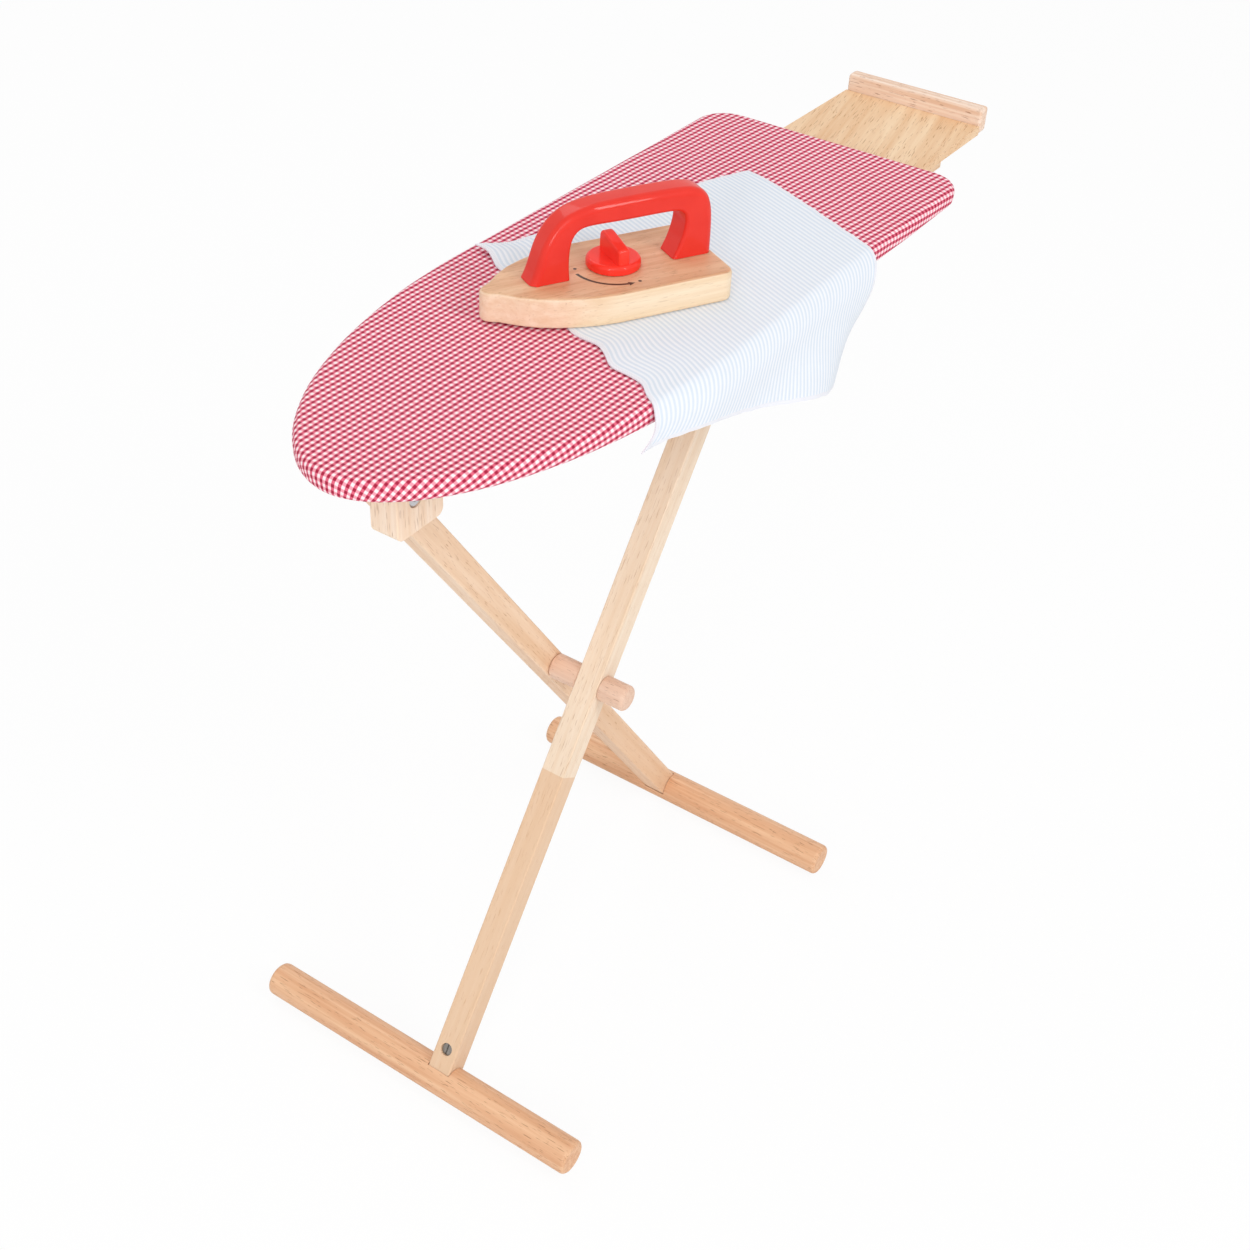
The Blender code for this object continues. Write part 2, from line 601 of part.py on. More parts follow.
def make_leg(prefix, parent, top, foot_way, y):
    """A leg in its own frame, from its rounded top to the dowel foot."""
    outline = []
    for step in range(2 * ARC_STEPS + 1):
        turn = math.pi / 2 + math.pi * step / (2 * ARC_STEPS)
        outline.append((top + foot_way * LEG_DEPTH / 2 * math.cos(turn),
                        LEG_DEPTH / 2 * math.sin(turn)))
    foot = top + foot_way * LEG_LENGTH
    end = foot + foot_way * (FOOT_POCKET - GAP)
    outline += [(end, -LEG_DEPTH / 2), (end, LEG_DEPTH / 2)]
    place = Matrix.Translation((0, y, 0)) @ SIDE_VIEW
    leg = extruded(prefix + "_leg", outline, LEG_WIDTH, place, "pale_wood", parent)
    soften(leg, EASE)
    dowel = rod(prefix + "_foot", (foot, -FOOT_LENGTH / 2, 0), (0, 1, 0), FOOT_LENGTH,
                FOOT_RADIUS, "foot_wood", parent, FINE_STEPS)
    soften(dowel, FOOT_END_ROUNDING, 3)
    reach = foot - foot_way * 2 * FOOT_RADIUS
    deep = foot + foot_way * FOOT_POCKET
    room = LEG_DEPTH / 2 + NOTCH_CLEARANCE
    beside = LEG_WIDTH / 2 + NOTCH_CLEARANCE
    cut(dowel, box(prefix + "_notch", (min(reach, deep), y - beside, -room),
                   (max(reach, deep), y + beside, room), None, parent))
    nut_x = foot - foot_way * BARREL_HEIGHT
    nut_top = LEG_DEPTH / 2 - BARREL_RECESS
    barrel = rod(prefix + "_barrel_nut", (nut_x, y, nut_top), (0, 0, -1), BARREL_LENGTH,
                 BARREL_RADIUS, "steel", parent)
    cut(leg, rod(prefix + "_barrel_hole", (nut_x, y, LEG_DEPTH), (0, 0, -1),
                 LEG_DEPTH - nut_top + BARREL_LENGTH + GAP, BARREL_RADIUS + GAP, None,
                 parent))
    head_x = foot + foot_way * (FOOT_RADIUS - FOOT_HEAD_RECESS)
    length = abs(head_x - nut_x) + BARREL_RADIUS / 2
    bolt(prefix + "_foot_bolt", (head_x, y, 0), (-foot_way, 0, 0), length, parent,
         FOOT_BOLT_RADIUS, FOOT_HEAD_RADIUS, FOOT_HEAD_HEIGHT)
    bore = rod(prefix + "_foot_bolt_bore", (head_x + foot_way * OVERRUN, y, 0),
               (-foot_way, 0, 0), length + OVERRUN + GAP, FOOT_BOLT_RADIUS + GAP, None,
               parent)
    seat = rod(prefix + "_foot_bolt_seat", (head_x + foot_way * OVERRUN, y, 0),
               (-foot_way, 0, 0), FOOT_HEAD_HEIGHT + OVERRUN + GAP,
               FOOT_HEAD_RADIUS + GAP, None, parent)
    cut(leg, bore)
    cut(dowel, bore, seat)
    slot = box(prefix + "_barrel_slot", (
        nut_x - 2 * BARREL_RADIUS, y - BARREL_SLOT_WIDTH / 2, nut_top - BARREL_SLOT_DEPTH,
    ), (
        nut_x + 2 * BARREL_RADIUS, y + BARREL_SLOT_WIDTH / 2, nut_top + OVERRUN,
    ), None, parent)
    cut(barrel, bore, slot)
    return leg


far_leg = make_leg("far", fold_axis, 0.0, 1, LEG_Y)
near_leg = make_leg("near", scissor_axis, UPPER_ARM, -1, -LEG_Y)
cut(far_leg, rod("far_leg_top_bore", (0, 0, 0), (0, 1, 0), 2 * LEG_Y, BORE_RADIUS,
                 None, fold_axis))

# Crossing: bolt, far washer, spacer and the turned knob with its insert
cross_bore = rod("cross_bore", (0, -2 * LEG_Y, 0), (0, 1, 0), 4 * LEG_Y, BORE_RADIUS,
                 None, scissor_axis)
cut(far_leg, cross_bore)
cut(near_leg, cross_bore)
spacer = rod("crossing_spacer", (UPPER_ARM, GAP - LEG_INNER, 0), (0, 1, 0),
             2 * (LEG_INNER - GAP), SPACER_RADIUS, "beech", fold_axis)
soften(spacer, EASE)
cut(spacer, cross_bore)
KNOB_Y = -LEG_OUTER - GAP
CROSS_HEAD_Y = LEG_OUTER + WASHER_THICKNESS + 2 * GAP + BOLT_HEAD_HEIGHT
knob = rod("clamp_knob", (0, KNOB_Y, 0), (0, -1, 0), KNOB_LENGTH, KNOB_RADIUS,
           "knob_wood", scissor_axis, FINE_STEPS)
soften_marked(knob, KNOB_ROUNDING, 3,
              lambda first, second: max(first.y, second.y) < KNOB_Y - KNOB_LENGTH / 2)
cut(knob, rod("knob_bore", (0, KNOB_Y + OVERRUN, 0), (0, -1, 0),
              KNOB_BORE_END + OVERRUN, BORE_RADIUS, None, scissor_axis),
    rod("knob_insert_seat", (0, KNOB_Y + OVERRUN, 0), (0, -1, 0),
        INSERT_LENGTH + 2 * GAP + OVERRUN, INSERT_RADIUS + GAP, None, scissor_axis))
insert = rod("knob_insert", (0, KNOB_Y - GAP, 0), (0, -1, 0), INSERT_LENGTH,
             INSERT_RADIUS, "brass", scissor_axis)
cut(insert, rod("knob_insert_bore", (0, KNOB_Y + OVERRUN, 0), (0, -1, 0),
                INSERT_LENGTH + 2 * OVERRUN, BOLT_RADIUS + GAP, None, scissor_axis))
bolt("crossing_bolt", (0, CROSS_HEAD_Y, 0), (0, -1, 0),
     CROSS_HEAD_Y - KNOB_Y + KNOB_BORE_END - BOLT_END_CLEARANCE, scissor_axis)
washer("crossing_washer", (0, LEG_OUTER + GAP, 0), scissor_axis)

# Guide channel: the near leg's rounded top runs in its groove as the board folds
guide_x = LEG_TOP_X - GUIDE_AHEAD
guide_end = guide_x + GUIDE_LENGTH
GUIDE_TOP = CORE_BOTTOM - GAP
GUIDE_ROOF = PIVOT_Z + LEG_DEPTH / 2 + GAP
GROOVE_HALF = LEG_WIDTH / 2 + GUIDE_SIDE_CLEARANCE
guide = box("leg_guide", (guide_x, -LEG_Y - GROOVE_HALF - GUIDE_WALL, GUIDE_ROOF - GUIDE_SKIRT),
            (guide_end, -LEG_Y + GROOVE_HALF + GUIDE_WALL, GUIDE_TOP), "beech")
soften(guide, EASE)
stop_x = LEG_TOP_X - LEG_DEPTH / 2 - GAP
cut(guide, box("guide_groove", (stop_x, -LEG_Y - GROOVE_HALF, GUIDE_ROOF - 2 * GUIDE_SKIRT),
               (guide_end + OVERRUN, -LEG_Y + GROOVE_HALF, GUIDE_ROOF)),
    box("guide_stop_relief", (guide_x - OVERRUN, -LEG_Y - GROOVE_HALF,
                              GUIDE_ROOF - 2 * GUIDE_SKIRT),
        (stop_x + OVERRUN, -LEG_Y + GROOVE_HALF, GUIDE_ROOF - GUIDE_STOP_DROP)),
    box("guide_tray_step", (TRAY_X - GAP, -BOARD_WIDTH / 2, TRAY_BOTTOM - GAP),
        (guide_end + OVERRUN, BOARD_WIDTH / 2, GUIDE_TOP + OVERRUN)))
for name, x, length in (
    ("guide_screw_1", stop_x + GUIDE_FRONT_SCREW, GUIDE_SCREW_LENGTH),
    ("guide_screw_2", stop_x + GUIDE_SECOND_SCREW, GUIDE_SCREW_LENGTH),
    ("guide_screw_3", guide_end - GUIDE_REAR_SCREW, GUIDE_SHORT_SCREW_LENGTH),
):
    spot = (x, -LEG_Y, GUIDE_ROOF + SCREW_CLEARANCE)
    wood_screw(name, spot, (0, 0, 1), length)
    hole = screw_hole(name + "_hole", spot, (0, 0, 1), length)
    cut(guide, hole)
    if length == GUIDE_SHORT_SCREW_LENGTH:
        cut(plate, hole)
    else:
        cut(core, hole)

# Iron, drawn in its own frame: nose at the origin, heel towards +X
iron_axis = make_empty("iron_axis", (NOSE_X + IRON_NOSE_X, IRON_NOSE_Y, IRON_BOTTOM),
                       turn=IRON_HEADING, axis="Z")
dial_axis = make_empty("dial_axis", (DIAL_X, 0, IRON_THICKNESS), iron_axis)


def iron_side():
    half = IRON_WIDTH / 2
    side = [(IRON_NOSE_LENGTH * along, half * across)
            for along, across in IRON_NOSE_WIDTH_SHARES[1:]]
    for step in range(ARC_STEPS + 1):
        turn = math.pi / 2 * step / ARC_STEPS
        side.append((IRON_LENGTH - IRON_REAR_RADIUS * (1 - math.sin(turn)),
                     half - IRON_REAR_RADIUS * (1 - math.cos(turn))))
    return side


iron_outline = [(0, 0)] + [(x, -y) for x, y in iron_side()]
iron_outline += [(x, y) for x, y in reversed(iron_side())]
base = extruded("iron_base", iron_outline, IRON_THICKNESS,
                Matrix.Translation((0, 0, IRON_THICKNESS / 2)), "pale_wood", iron_axis)
soften(base, IRON_EDGE_ROUNDING, 2)
HANDLE_BASE = IRON_THICKNESS + GAP
handle_outline = [(IRON_LENGTH * along, HANDLE_BASE + HANDLE_HEIGHT * up)
                  for along, up in HANDLE_OUTER_SHARES + HANDLE_INNER_SHARES]
handle = extruded("iron_handle", handle_outline, HANDLE_WIDTH, SIDE_VIEW, "red_lacquer",
                  iron_axis)
soften_marked(handle, HANDLE_EDGE_ROUNDING, 2,
              lambda first, second: abs(first.y - second.y) < WELD_DISTANCE
              and max(first.z, second.z) > HANDLE_BASE + WELD_DISTANCE)
for place, x in (("front", HANDLE_SCREW_FRONT), ("rear", HANDLE_SCREW_REAR)):
    spot = (x, 0, SCREW_CLEARANCE)
    wood_screw("iron_screw_" + place, spot, (0, 0, 1), HANDLE_SCREW_LENGTH, iron_axis)
    hole = screw_hole("iron_screw_hole_" + place, spot, (0, 0, 1), HANDLE_SCREW_LENGTH,
                      iron_axis)
    cut(base, hole)
    cut(handle, hole)

# Dial: a disc on a pin, with a plate grip that is highest at its far end
dial = turned("iron_dial", (
    (0, GAP + DIAL_THICKNESS),
    (DIAL_RADIUS - DIAL_ROUNDING, GAP + DIAL_THICKNESS),
    (DIAL_RADIUS, GAP + DIAL_THICKNESS - DIAL_ROUNDING),
    (DIAL_RADIUS, GAP), (DIAL_PIN_RADIUS, GAP), (DIAL_PIN_RADIUS, -DIAL_PIN_LENGTH),
    (0, -DIAL_PIN_LENGTH),
), (0, 0, 0), (0, 0, 1), "red_lacquer", dial_axis, FINE_STEPS)
GRIP_TOP = GAP + DIAL_THICKNESS + DIAL_GRIP_HEIGHT
GRIP_LOW_TOP = GAP + DIAL_THICKNESS + DIAL_GRIP_LOW_HEIGHT
grip_outline = (
    (-DIAL_GRIP_NEAR, GAP + DIAL_THICKNESS / 2),
    (DIAL_GRIP_FAR, GAP + DIAL_THICKNESS / 2),
    (DIAL_GRIP_FAR, GRIP_TOP - DIAL_GRIP_ROUNDING),
    (DIAL_GRIP_FAR - DIAL_GRIP_ROUNDING, GRIP_TOP),
    (DIAL_ROUNDING - DIAL_GRIP_NEAR, GRIP_LOW_TOP),
    (-DIAL_GRIP_NEAR, GRIP_LOW_TOP - DIAL_ROUNDING),
)
ACROSS_VIEW = Matrix.Rotation(math.pi / 2, 4, "Z") @ SIDE_VIEW
grip = extruded("dial_grip", grip_outline, DIAL_GRIP_WIDTH, ACROSS_VIEW, None, dial_axis)
soften(grip, EASE, 1)
join(dial, grip)
cut(base, rod("dial_pin_bore", (DIAL_X, 0, IRON_THICKNESS + OVERRUN), (0, 0, -1),
              OVERRUN + DIAL_PIN_LENGTH + GAP, DIAL_PIN_RADIUS + GAP, None, iron_axis))

# Loose cloth: flat under the iron, bent over the near edge, hanging in soft folds
CLOTH_LEVEL = TOP_HEIGHT + GAP
BEND_LENGTH = CLOTH_BEND_RADIUS * math.pi / 2


def edge_line(x):
    """Where the cloth begins to bend, above the rounding of the near edge."""
    return COVER_TOP_RADIUS - half_width(x)


def cloth_point(x, y):
    """A point of the flat cloth, laid over the near edge."""
    beyond = edge_line(x) - y
    if beyond <= 0:
        return Vector((x, y, CLOTH_LEVEL))
    if beyond < BEND_LENGTH:
        turn = beyond / CLOTH_BEND_RADIUS
        return Vector((x, edge_line(x) - CLOTH_BEND_RADIUS * math.sin(turn),
                       CLOTH_LEVEL - CLOTH_BEND_RADIUS * (1 - math.cos(turn))))
    drop = beyond - BEND_LENGTH
    ease = min(drop / CLOTH_FOLD_RAMP, 1.0)
    wave = math.sin(math.pi * (x - NOSE_X - CLOTH_FOLD_START) / CLOTH_FOLD_PITCH) ** 2
    out = CLOTH_FOLD_DEPTH * ease * ease * wave
    return Vector((x, edge_line(x) - CLOTH_BEND_RADIUS - out,
                   CLOTH_LEVEL - CLOTH_BEND_RADIUS - drop))


corner = Vector((NOSE_X + CLOTH_CORNER_X, CLOTH_CORNER_Y))
across = Vector((math.cos(CLOTH_ACROSS_ANGLE), math.sin(CLOTH_ACROSS_ANGLE)))
down = Vector((math.cos(CLOTH_DOWN_ANGLE), math.sin(CLOTH_DOWN_ANGLE)))
rows = CLOTH_TOP_ROWS + CLOTH_BEND_ROWS + CLOTH_HANG_ROWS
bm = bmesh.new()
grid = []
for column in range(CLOTH_COLUMNS + 1):
    start = corner + across * (CLOTH_WIDTH * column / CLOTH_COLUMNS)
    bend_at = CLOTH_LENGTH
    for _ in range(2 * ROUND_STEPS):
        reached = start + down * bend_at
        bend_at -= (reached.y - edge_line(reached.x)) / down.y
    bend_end = bend_at - BEND_LENGTH / down.y
    line = []
    for row in range(rows + 1):
        if row <= CLOTH_TOP_ROWS:
            along = bend_at * row / CLOTH_TOP_ROWS
        elif row <= CLOTH_TOP_ROWS + CLOTH_BEND_ROWS:
            along = bend_at + (bend_end - bend_at) * (row - CLOTH_TOP_ROWS) / CLOTH_BEND_ROWS
        else:
            share = (row - CLOTH_TOP_ROWS - CLOTH_BEND_ROWS) / CLOTH_HANG_ROWS
            along = bend_end + (CLOTH_LENGTH - bend_end) * share
        flat = start + down * along
        line.append(bm.verts.new(cloth_point(flat.x, flat.y)))
    grid.append(line)
for left, right in zip(grid, grid[1:]):
    for row in range(rows):
        bm.faces.new((left[row], left[row + 1], right[row + 1], right[row]))
cloth = finish("striped_cloth", bm, "striped_cloth")
if cloth.data.polygons[0].normal.z < 0:
    cloth.data.flip_normals()
thicken = cloth.modifiers.new("cloth thickness", "SOLIDIFY")
thicken.thickness = CLOTH_THICKNESS
thicken.offset = 1.0
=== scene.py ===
import json
from math import cos, hypot, pi, radians, sin, tau
import bpy
import bmesh
from mathutils import Matrix, Vector, noise


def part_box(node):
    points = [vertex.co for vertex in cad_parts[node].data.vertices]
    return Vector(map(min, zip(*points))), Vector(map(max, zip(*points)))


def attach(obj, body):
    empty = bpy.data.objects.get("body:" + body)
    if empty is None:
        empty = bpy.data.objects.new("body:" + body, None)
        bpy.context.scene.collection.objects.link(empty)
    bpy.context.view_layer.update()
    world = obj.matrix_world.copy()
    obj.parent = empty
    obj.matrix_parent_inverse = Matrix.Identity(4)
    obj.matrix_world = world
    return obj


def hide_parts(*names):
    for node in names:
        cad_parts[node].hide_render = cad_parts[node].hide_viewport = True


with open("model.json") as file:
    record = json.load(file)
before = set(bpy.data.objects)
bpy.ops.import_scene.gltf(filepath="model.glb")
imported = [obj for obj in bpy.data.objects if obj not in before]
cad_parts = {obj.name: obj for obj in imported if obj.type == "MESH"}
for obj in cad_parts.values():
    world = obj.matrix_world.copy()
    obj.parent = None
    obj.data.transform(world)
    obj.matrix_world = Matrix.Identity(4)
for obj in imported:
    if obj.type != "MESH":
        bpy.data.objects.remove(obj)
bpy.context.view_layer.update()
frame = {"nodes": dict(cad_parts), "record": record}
nodes = frame["nodes"]
bodyOf = {node: body for body, group in frame["record"]["behaviour"]["bodies"].items()
          for node in group}
print("frame loaded,", len(nodes), "pieces")


def placed(name, data):
    piece = bpy.data.objects.new(name, data)
    bpy.context.scene.collection.objects.link(piece)
    return piece


# camera and lamps
cameraSetup = {
    "place": (-0.9264, -0.5548, 1.094858),
    "right": (0.56085486, -0.8268155, 0.04263747),
    "up": (0.49421734, 0.37567147, 0.78397715),
    "back": (-0.66422214, -0.41862521, 0.61932373),
    "lens": 50.13,
    "clipEnd": 50,
}
cameraData = bpy.data.cameras.new("camera")
cameraData.lens = cameraSetup["lens"]
cameraData.clip_end = cameraSetup["clipEnd"]
camera = placed("camera", cameraData)
cameraTurn = Matrix([cameraSetup["right"], cameraSetup["up"], cameraSetup["back"]]).transposed()
camera.matrix_world = Matrix.Translation(cameraSetup["place"]) @ cameraTurn.to_4x4()
bpy.context.scene.camera = camera
bpy.context.scene.view_settings.view_transform = "Standard"

studio = {
    "middle": (0, 0, 0.35),
    "sky": 0.67,  # what the white surroundings give the object
    "lamps": {  # place, (width, height), watts
        "key": ((-1.9, -1.2, 2.2), (1.6, 1.6), 12),
        "fill": ((-0.2, -2.5, 2.2), (0.4, 1.8), 23),
        "rear": ((0.9, 1.9, 3.0), (1.8, 1.8), 14),
        "front": ((-2.45, -0.8, 1.36), (0.5, 0.9), 11),
    },
    "floorSize": 14, "floorLevel": -0.0002,
    "floorWhite": 0.9, "floorRough": 0.9,
    "floorGlow": 0.92,  # how much of the floor's shadow the camera doesn't see
}
for name, (place, (width, height), watts) in studio["lamps"].items():
    lampData = bpy.data.lights.new(name, "AREA")
    lampData.shape = "ELLIPSE"
    lampData.size = width
    lampData.size_y = height
    lampData.energy = watts
    lamp = placed(name, lampData)
    lamp.location = place
    aim = Vector(studio["middle"]) - Vector(place)
    lamp.rotation_euler = aim.to_track_quat("-Z", "Y").to_euler()


class Wire:
    # one node output; sums written on it add Math nodes
    def __init__(self, tree, socket):
        self.tree = tree
        self.socket = socket

    def node(self, kind, values, out=0, **settings):
        made = self.tree.nodes.new(kind)
        for name, value in settings.items():
            setattr(made, name, value)
        for name, value in values.items():
            if isinstance(value, Wire):
                self.tree.links.new(value.socket, made.inputs[name])
            else:
                made.inputs[name].default_value = value
        return Wire(self.tree, made.outputs[out])

    def maths(self, operation, *others, clamp=False):
        return self.node("ShaderNodeMath", dict(enumerate((self, *others))),
                         operation=operation, use_clamp=clamp)

    def __add__(self, other):
        return self.maths("ADD", other)

    def __sub__(self, other):
        return self.maths("SUBTRACT", other)

    def __rsub__(self, other):
        return self.node("ShaderNodeMath", {0: other, 1: self}, operation="SUBTRACT")

    def __mul__(self, other):
        return self.maths("MULTIPLY", other)

    __radd__ = __add__
    __rmul__ = __mul__

    def clamped(self, gain, middle=0.5):
        # steeper round its middle, and kept from 0 to 1
        return self.maths("MULTIPLY_ADD", gain, 0.5 - gain * middle, clamp=True)

    def above(self, limit, width):
        # 0 up to the limit, rising to 1 within this width
        return self.maths("MULTIPLY_ADD", 1 / width, -limit / width, clamp=True)

    def between(self, *colours):
        # this value as the share of the second colour; a colour is a wire or a code
        first, second = (seen(colour) if isinstance(colour, str) else colour
                         for colour in colours)
        return self.node("ShaderNodeMix", {0: self, 6: first, 7: second}, 2, data_type="RGBA")

    def speckle(self, size, shift, detail):
        # noise with spots of this size in metres, one number or (x, y, z)
        sizes = size if isinstance(size, tuple) else (size,) * 3
        stretched = self.node("ShaderNodeVectorMath",
                              {0: self, 1: [1 / side for side in sizes], 2: [shift] * 3},
                              operation="MULTIPLY_ADD")
        return self.node("ShaderNodeTexNoise",
                         {"Vector": stretched, "Scale": 1.0, "Detail": detail})

    def axis(self, index):
        return self.node("ShaderNodeSeparateXYZ", {0: self}, index)

    def wave(self, pitch):
        return (self * (tau / pitch)).maths("SINE")

    def reach(self, other):
        # how far off zero a place is that has these two coordinates
        return (self * self + other * other).maths("SQRT")


def seen(code):
    # a colour as it is seen, such as "F3DAC4"
    parts = [int(code[place:place + 2], 16) / 255 for place in (0, 2, 4)]
    return tuple(part / 12.92 if part < 0.04 else ((part + 0.055) / 1.055) ** 2.4
                 for part in parts) + (1.0,)


def newMaterial(name, place=(0, 0, 0), turn=(0, 0, 0), source="Object"):
    made = bpy.data.materials.new(name)
    made.use_nodes = True
    tree = made.node_tree
    coordinates = tree.nodes.new("ShaderNodeTexCoord")
    start = Wire(tree, coordinates.outputs[source])
    spot = start.node("ShaderNodeMapping",
                      {"Vector": start, "Location": place,
                       "Rotation": [radians(part) for part in turn]},
                      vector_type="TEXTURE")
    return made, spot


def dress(made, surface, colour, roughness, height):
    tree = made.node_tree
    shader = tree.nodes["Principled BSDF"]
    for name, value in surface["shader"].items():
        shader.inputs[name].default_value = value
    bump = height.node("ShaderNodeBump", {"Height": height, "Strength": surface["bump"],
                                          "Distance": surface["depth"]})
    for name, wire in (("Base Color", colour), ("Roughness", roughness), ("Normal", bump)):
        tree.links.new(wire.socket, shader.inputs[name])
    return made


# woods: grain runs along the turned X axis
woodKinds = {
    # light, dark and pore colours, share and (length, width) of the pores, then the
    # contrast and the width of the bands
    "paleLeg": ("F4E3CF", "E6CAAB", "B98F69", 0.45, (0.01, 0.0007), 0.75, 0.005),
    "farLeg": ("F6DDC4", "E2BC98", "B07F58", 0.5, (0.01, 0.0007), 0.85, 0.0052),
    "block": ("FBE9D6", "EBCCAB", "A77B55", 0.62, (0.012, 0.0008), 0.8, 0.0035),
    "foot": ("EFC59F", "D69D74", "97643F", 0.6, (0.009, 0.0007), 1.0, 0.0036),
    "knob": ("EFD0BA", "DBB298", "9A6F54", 0.65, (0.006, 0.0006), 0.9, 0.0032),
    "plate": ("F6DAB6", "E0B182", "A9764A", 0.6, (0.012, 0.0008), 1.0, 0.0085),
    "lip": ("F9E6D6", "E3BB9D", "9F6C4C", 0.65, (0.008, 0.0007), 1.1, 0.0028),
    "ironBase": ("E9C19B", "CF976E", "96663F", 0.5, (0.008, 0.0007), 1.1, 0.0062),
    "ironSide": ("F8E5CA", "E9CAA4", "B48B63", 0.26, (0.009, 0.0007), 0.9, 0.004),
    "guide": ("F2D6B6", "DEB58C", "A0764F", 0.55, (0.01, 0.0007), 0.8, 0.006),
}
woodSurface = {
    "shader": {"Specular IOR Level": 0.42, "Coat Weight": 0.06, "Coat Roughness": 0.35},
    "bump": 0.35, "depth": 0.00025,
    "rough": 0.42, "fibreRough": 0.16, "poreRough": 0.15, "fibreHeight": 0.5,
}
woodGrain = {
    # (length, width) of the streaks
    "bandLength": 0.16, "fibreSize": (0.03, 0.0009), "cloudSize": (0.09, 0.03),
    "poreLimit": 0.64, "poreEdge": 0.06,
    # (contrast, share of the dark colour)
    "bands": (3.2, 0.62), "fibre": (1.6, 0.3), "clouds": (2.0, 0.12),
}


def woodParts(spot, kindName, shift):
    grain = woodGrain
    light, dark, pore, poreShare, poreSize, bandContrast, bandWidth = woodKinds[kindName]

    def streaks(size, further, detail):
        length, width = size
        return spot.speckle((length, width, width), shift + further, detail)

    bands = streaks((grain["bandLength"], bandWidth), 0.0, 3.0)
    fibre = streaks(grain["fibreSize"], 3.1, 3.0)
    pores = streaks(poreSize, 7.7, 1.0).above(grain["poreLimit"], grain["poreEdge"])
    clouds = streaks(grain["cloudSize"], 11.3, 1.0)
    contrast, weight = grain["bands"]
    share = bands.clamped(contrast * bandContrast) * weight
    for layer, (contrast, weight) in ((fibre, grain["fibre"]), (clouds, grain["clouds"])):
        share = share + layer.clamped(contrast) * weight
    return (pores * poreShare).between(share.between(light, dark), pore), fibre, pores


def dressWood(made, colour, fibre, pores, rough=woodSurface["rough"]):
    # the pores are dull and sunk
    surface = woodSurface
    roughness = fibre * surface["fibreRough"] + pores * surface["poreRough"] + rough
    return dress(made, surface, colour, roughness, fibre * surface["fibreHeight"] - pores)


def makeWood(name, kindName, place, turn, shift, change=None):
    made, spot = newMaterial(name, place, turn)
    colour, fibre, pores = woodParts(spot, kindName, shift)
    if change:  # the strip turns warmer, at a finger joint or little by little
        further = (spot.axis(0) * change["way"]).above(change["from"], change["over"])
        colour = (further * change["share"]).between(colour, change["tint"])
    return dressWood(made, colour, fibre, pores)


crossing = (-0.119363, 0, 0.276955)
legTurn = 55.07  # degrees from level
woods = {
    "far_leg": makeWood("farLegWood", "farLeg", crossing, (0, legTurn, 0), 4.2, {
        "way": 1, "from": -0.16, "over": 0.36, "tint": "DFA877", "share": 0.36}),
    "near_leg": makeWood("nearLegWood", "paleLeg", crossing, (0, -legTurn, 0), 1.7, {
        "way": -1, "from": 0.071, "over": 0.0004, "tint": "DBAE84", "share": 0.56}),
    "nose_block": makeWood("blockWood", "block", (-0.2948, 0, 0.53), (0, 90, 0), 2.3),
    "tray_plate": makeWood("plateWood", "plate", (0.24, 0.02, 0.55), (0, 0, 12), 6.1),
    "tray_lip": makeWood("lipWood", "lip", (0.35, 0, 0.55), (0, 0, 90), 8.8),
    "leg_guide": makeWood("guideWood", "guide", (0.2, 0, 0.54), (0, 0, 0), 5.4),
    "far_foot": makeWood("farFootWood", "foot", (0.065, 0, 0.013), (0, 0, 90), 3.3),
    "near_foot": makeWood("nearFootWood", "foot", (-0.3035, 0, 0.013), (0, 0, 90), 9.4),
    "crossing_spacer": makeWood("spacerWood", "knob", crossing, (0, 0, 90), 7.2),
    "clamp_knob": makeWood("knobWood", "knob", crossing, (0, 0, 90), 1.1),
}


# finishes without a pattern, of two layers of noise: (spot size, shift, detail) of each,
# then for both their contrast and their shares in colour, roughness and height
finishLooks = {
    "panel": {  # fibre board
        "layers": (((0.0022, 0.0022, 0.0012), 2.0, 3.0), (0.0006, 9.0, 1.0)),
        "contrast": (2.6, 2.0), "inColour": (0.7, 0.3),
        "inRough": (0.2, 0.0), "inHeight": (1.0, 0.5),
        "shader": {"Specular IOR Level": 0.3}, "bump": 0.3, "depth": 0.0003,
    },
    "metal": {  # brushed
        "layers": (((0.0004, 0.006, 0.0004), 1.0, 3.0), (0.004, 5.0, 2.0)),
        "contrast": (2.0, 2.0), "inColour": (0.5, 0.3),
        "inRough": (0.12, 0.1), "inHeight": (1.0, 0.0),
        "shader": {"Metallic": 1.0}, "bump": 0.15, "depth": 0.0001,
    },
    "lacquer": {  # glossy paint with a faint orange peel
        "layers": ((0.0016, 3.0, 2.0), (0.018, 8.0, 2.0)),
        "contrast": (1.0, 2.4), "inColour": (0.0, 0.5),
        "inRough": (0.0, 0.1), "inHeight": (1.0, 0.0),
        "shader": {"Specular IOR Level": 0.06, "Coat Weight": 0.32,
                   "Coat Roughness": 0.05, "Coat IOR": 1.5}, "bump": 0.1, "depth": 0.0002,
    },
    "felt": {
        "layers": (((0.0006, 0.005, 0.0006), 2.0, 3.0), (0.006, 5.0, 2.0)),
        "contrast": (2.0, 2.0), "inColour": (0.4, 0.4),
        "inRough": (0.1, 0.0), "inHeight": (1.0, 1.0),
        "shader": {"Specular IOR Level": 0.2, "Sheen Weight": 0.4}, "bump": 0.5, "depth": 0.0005,
    },
}


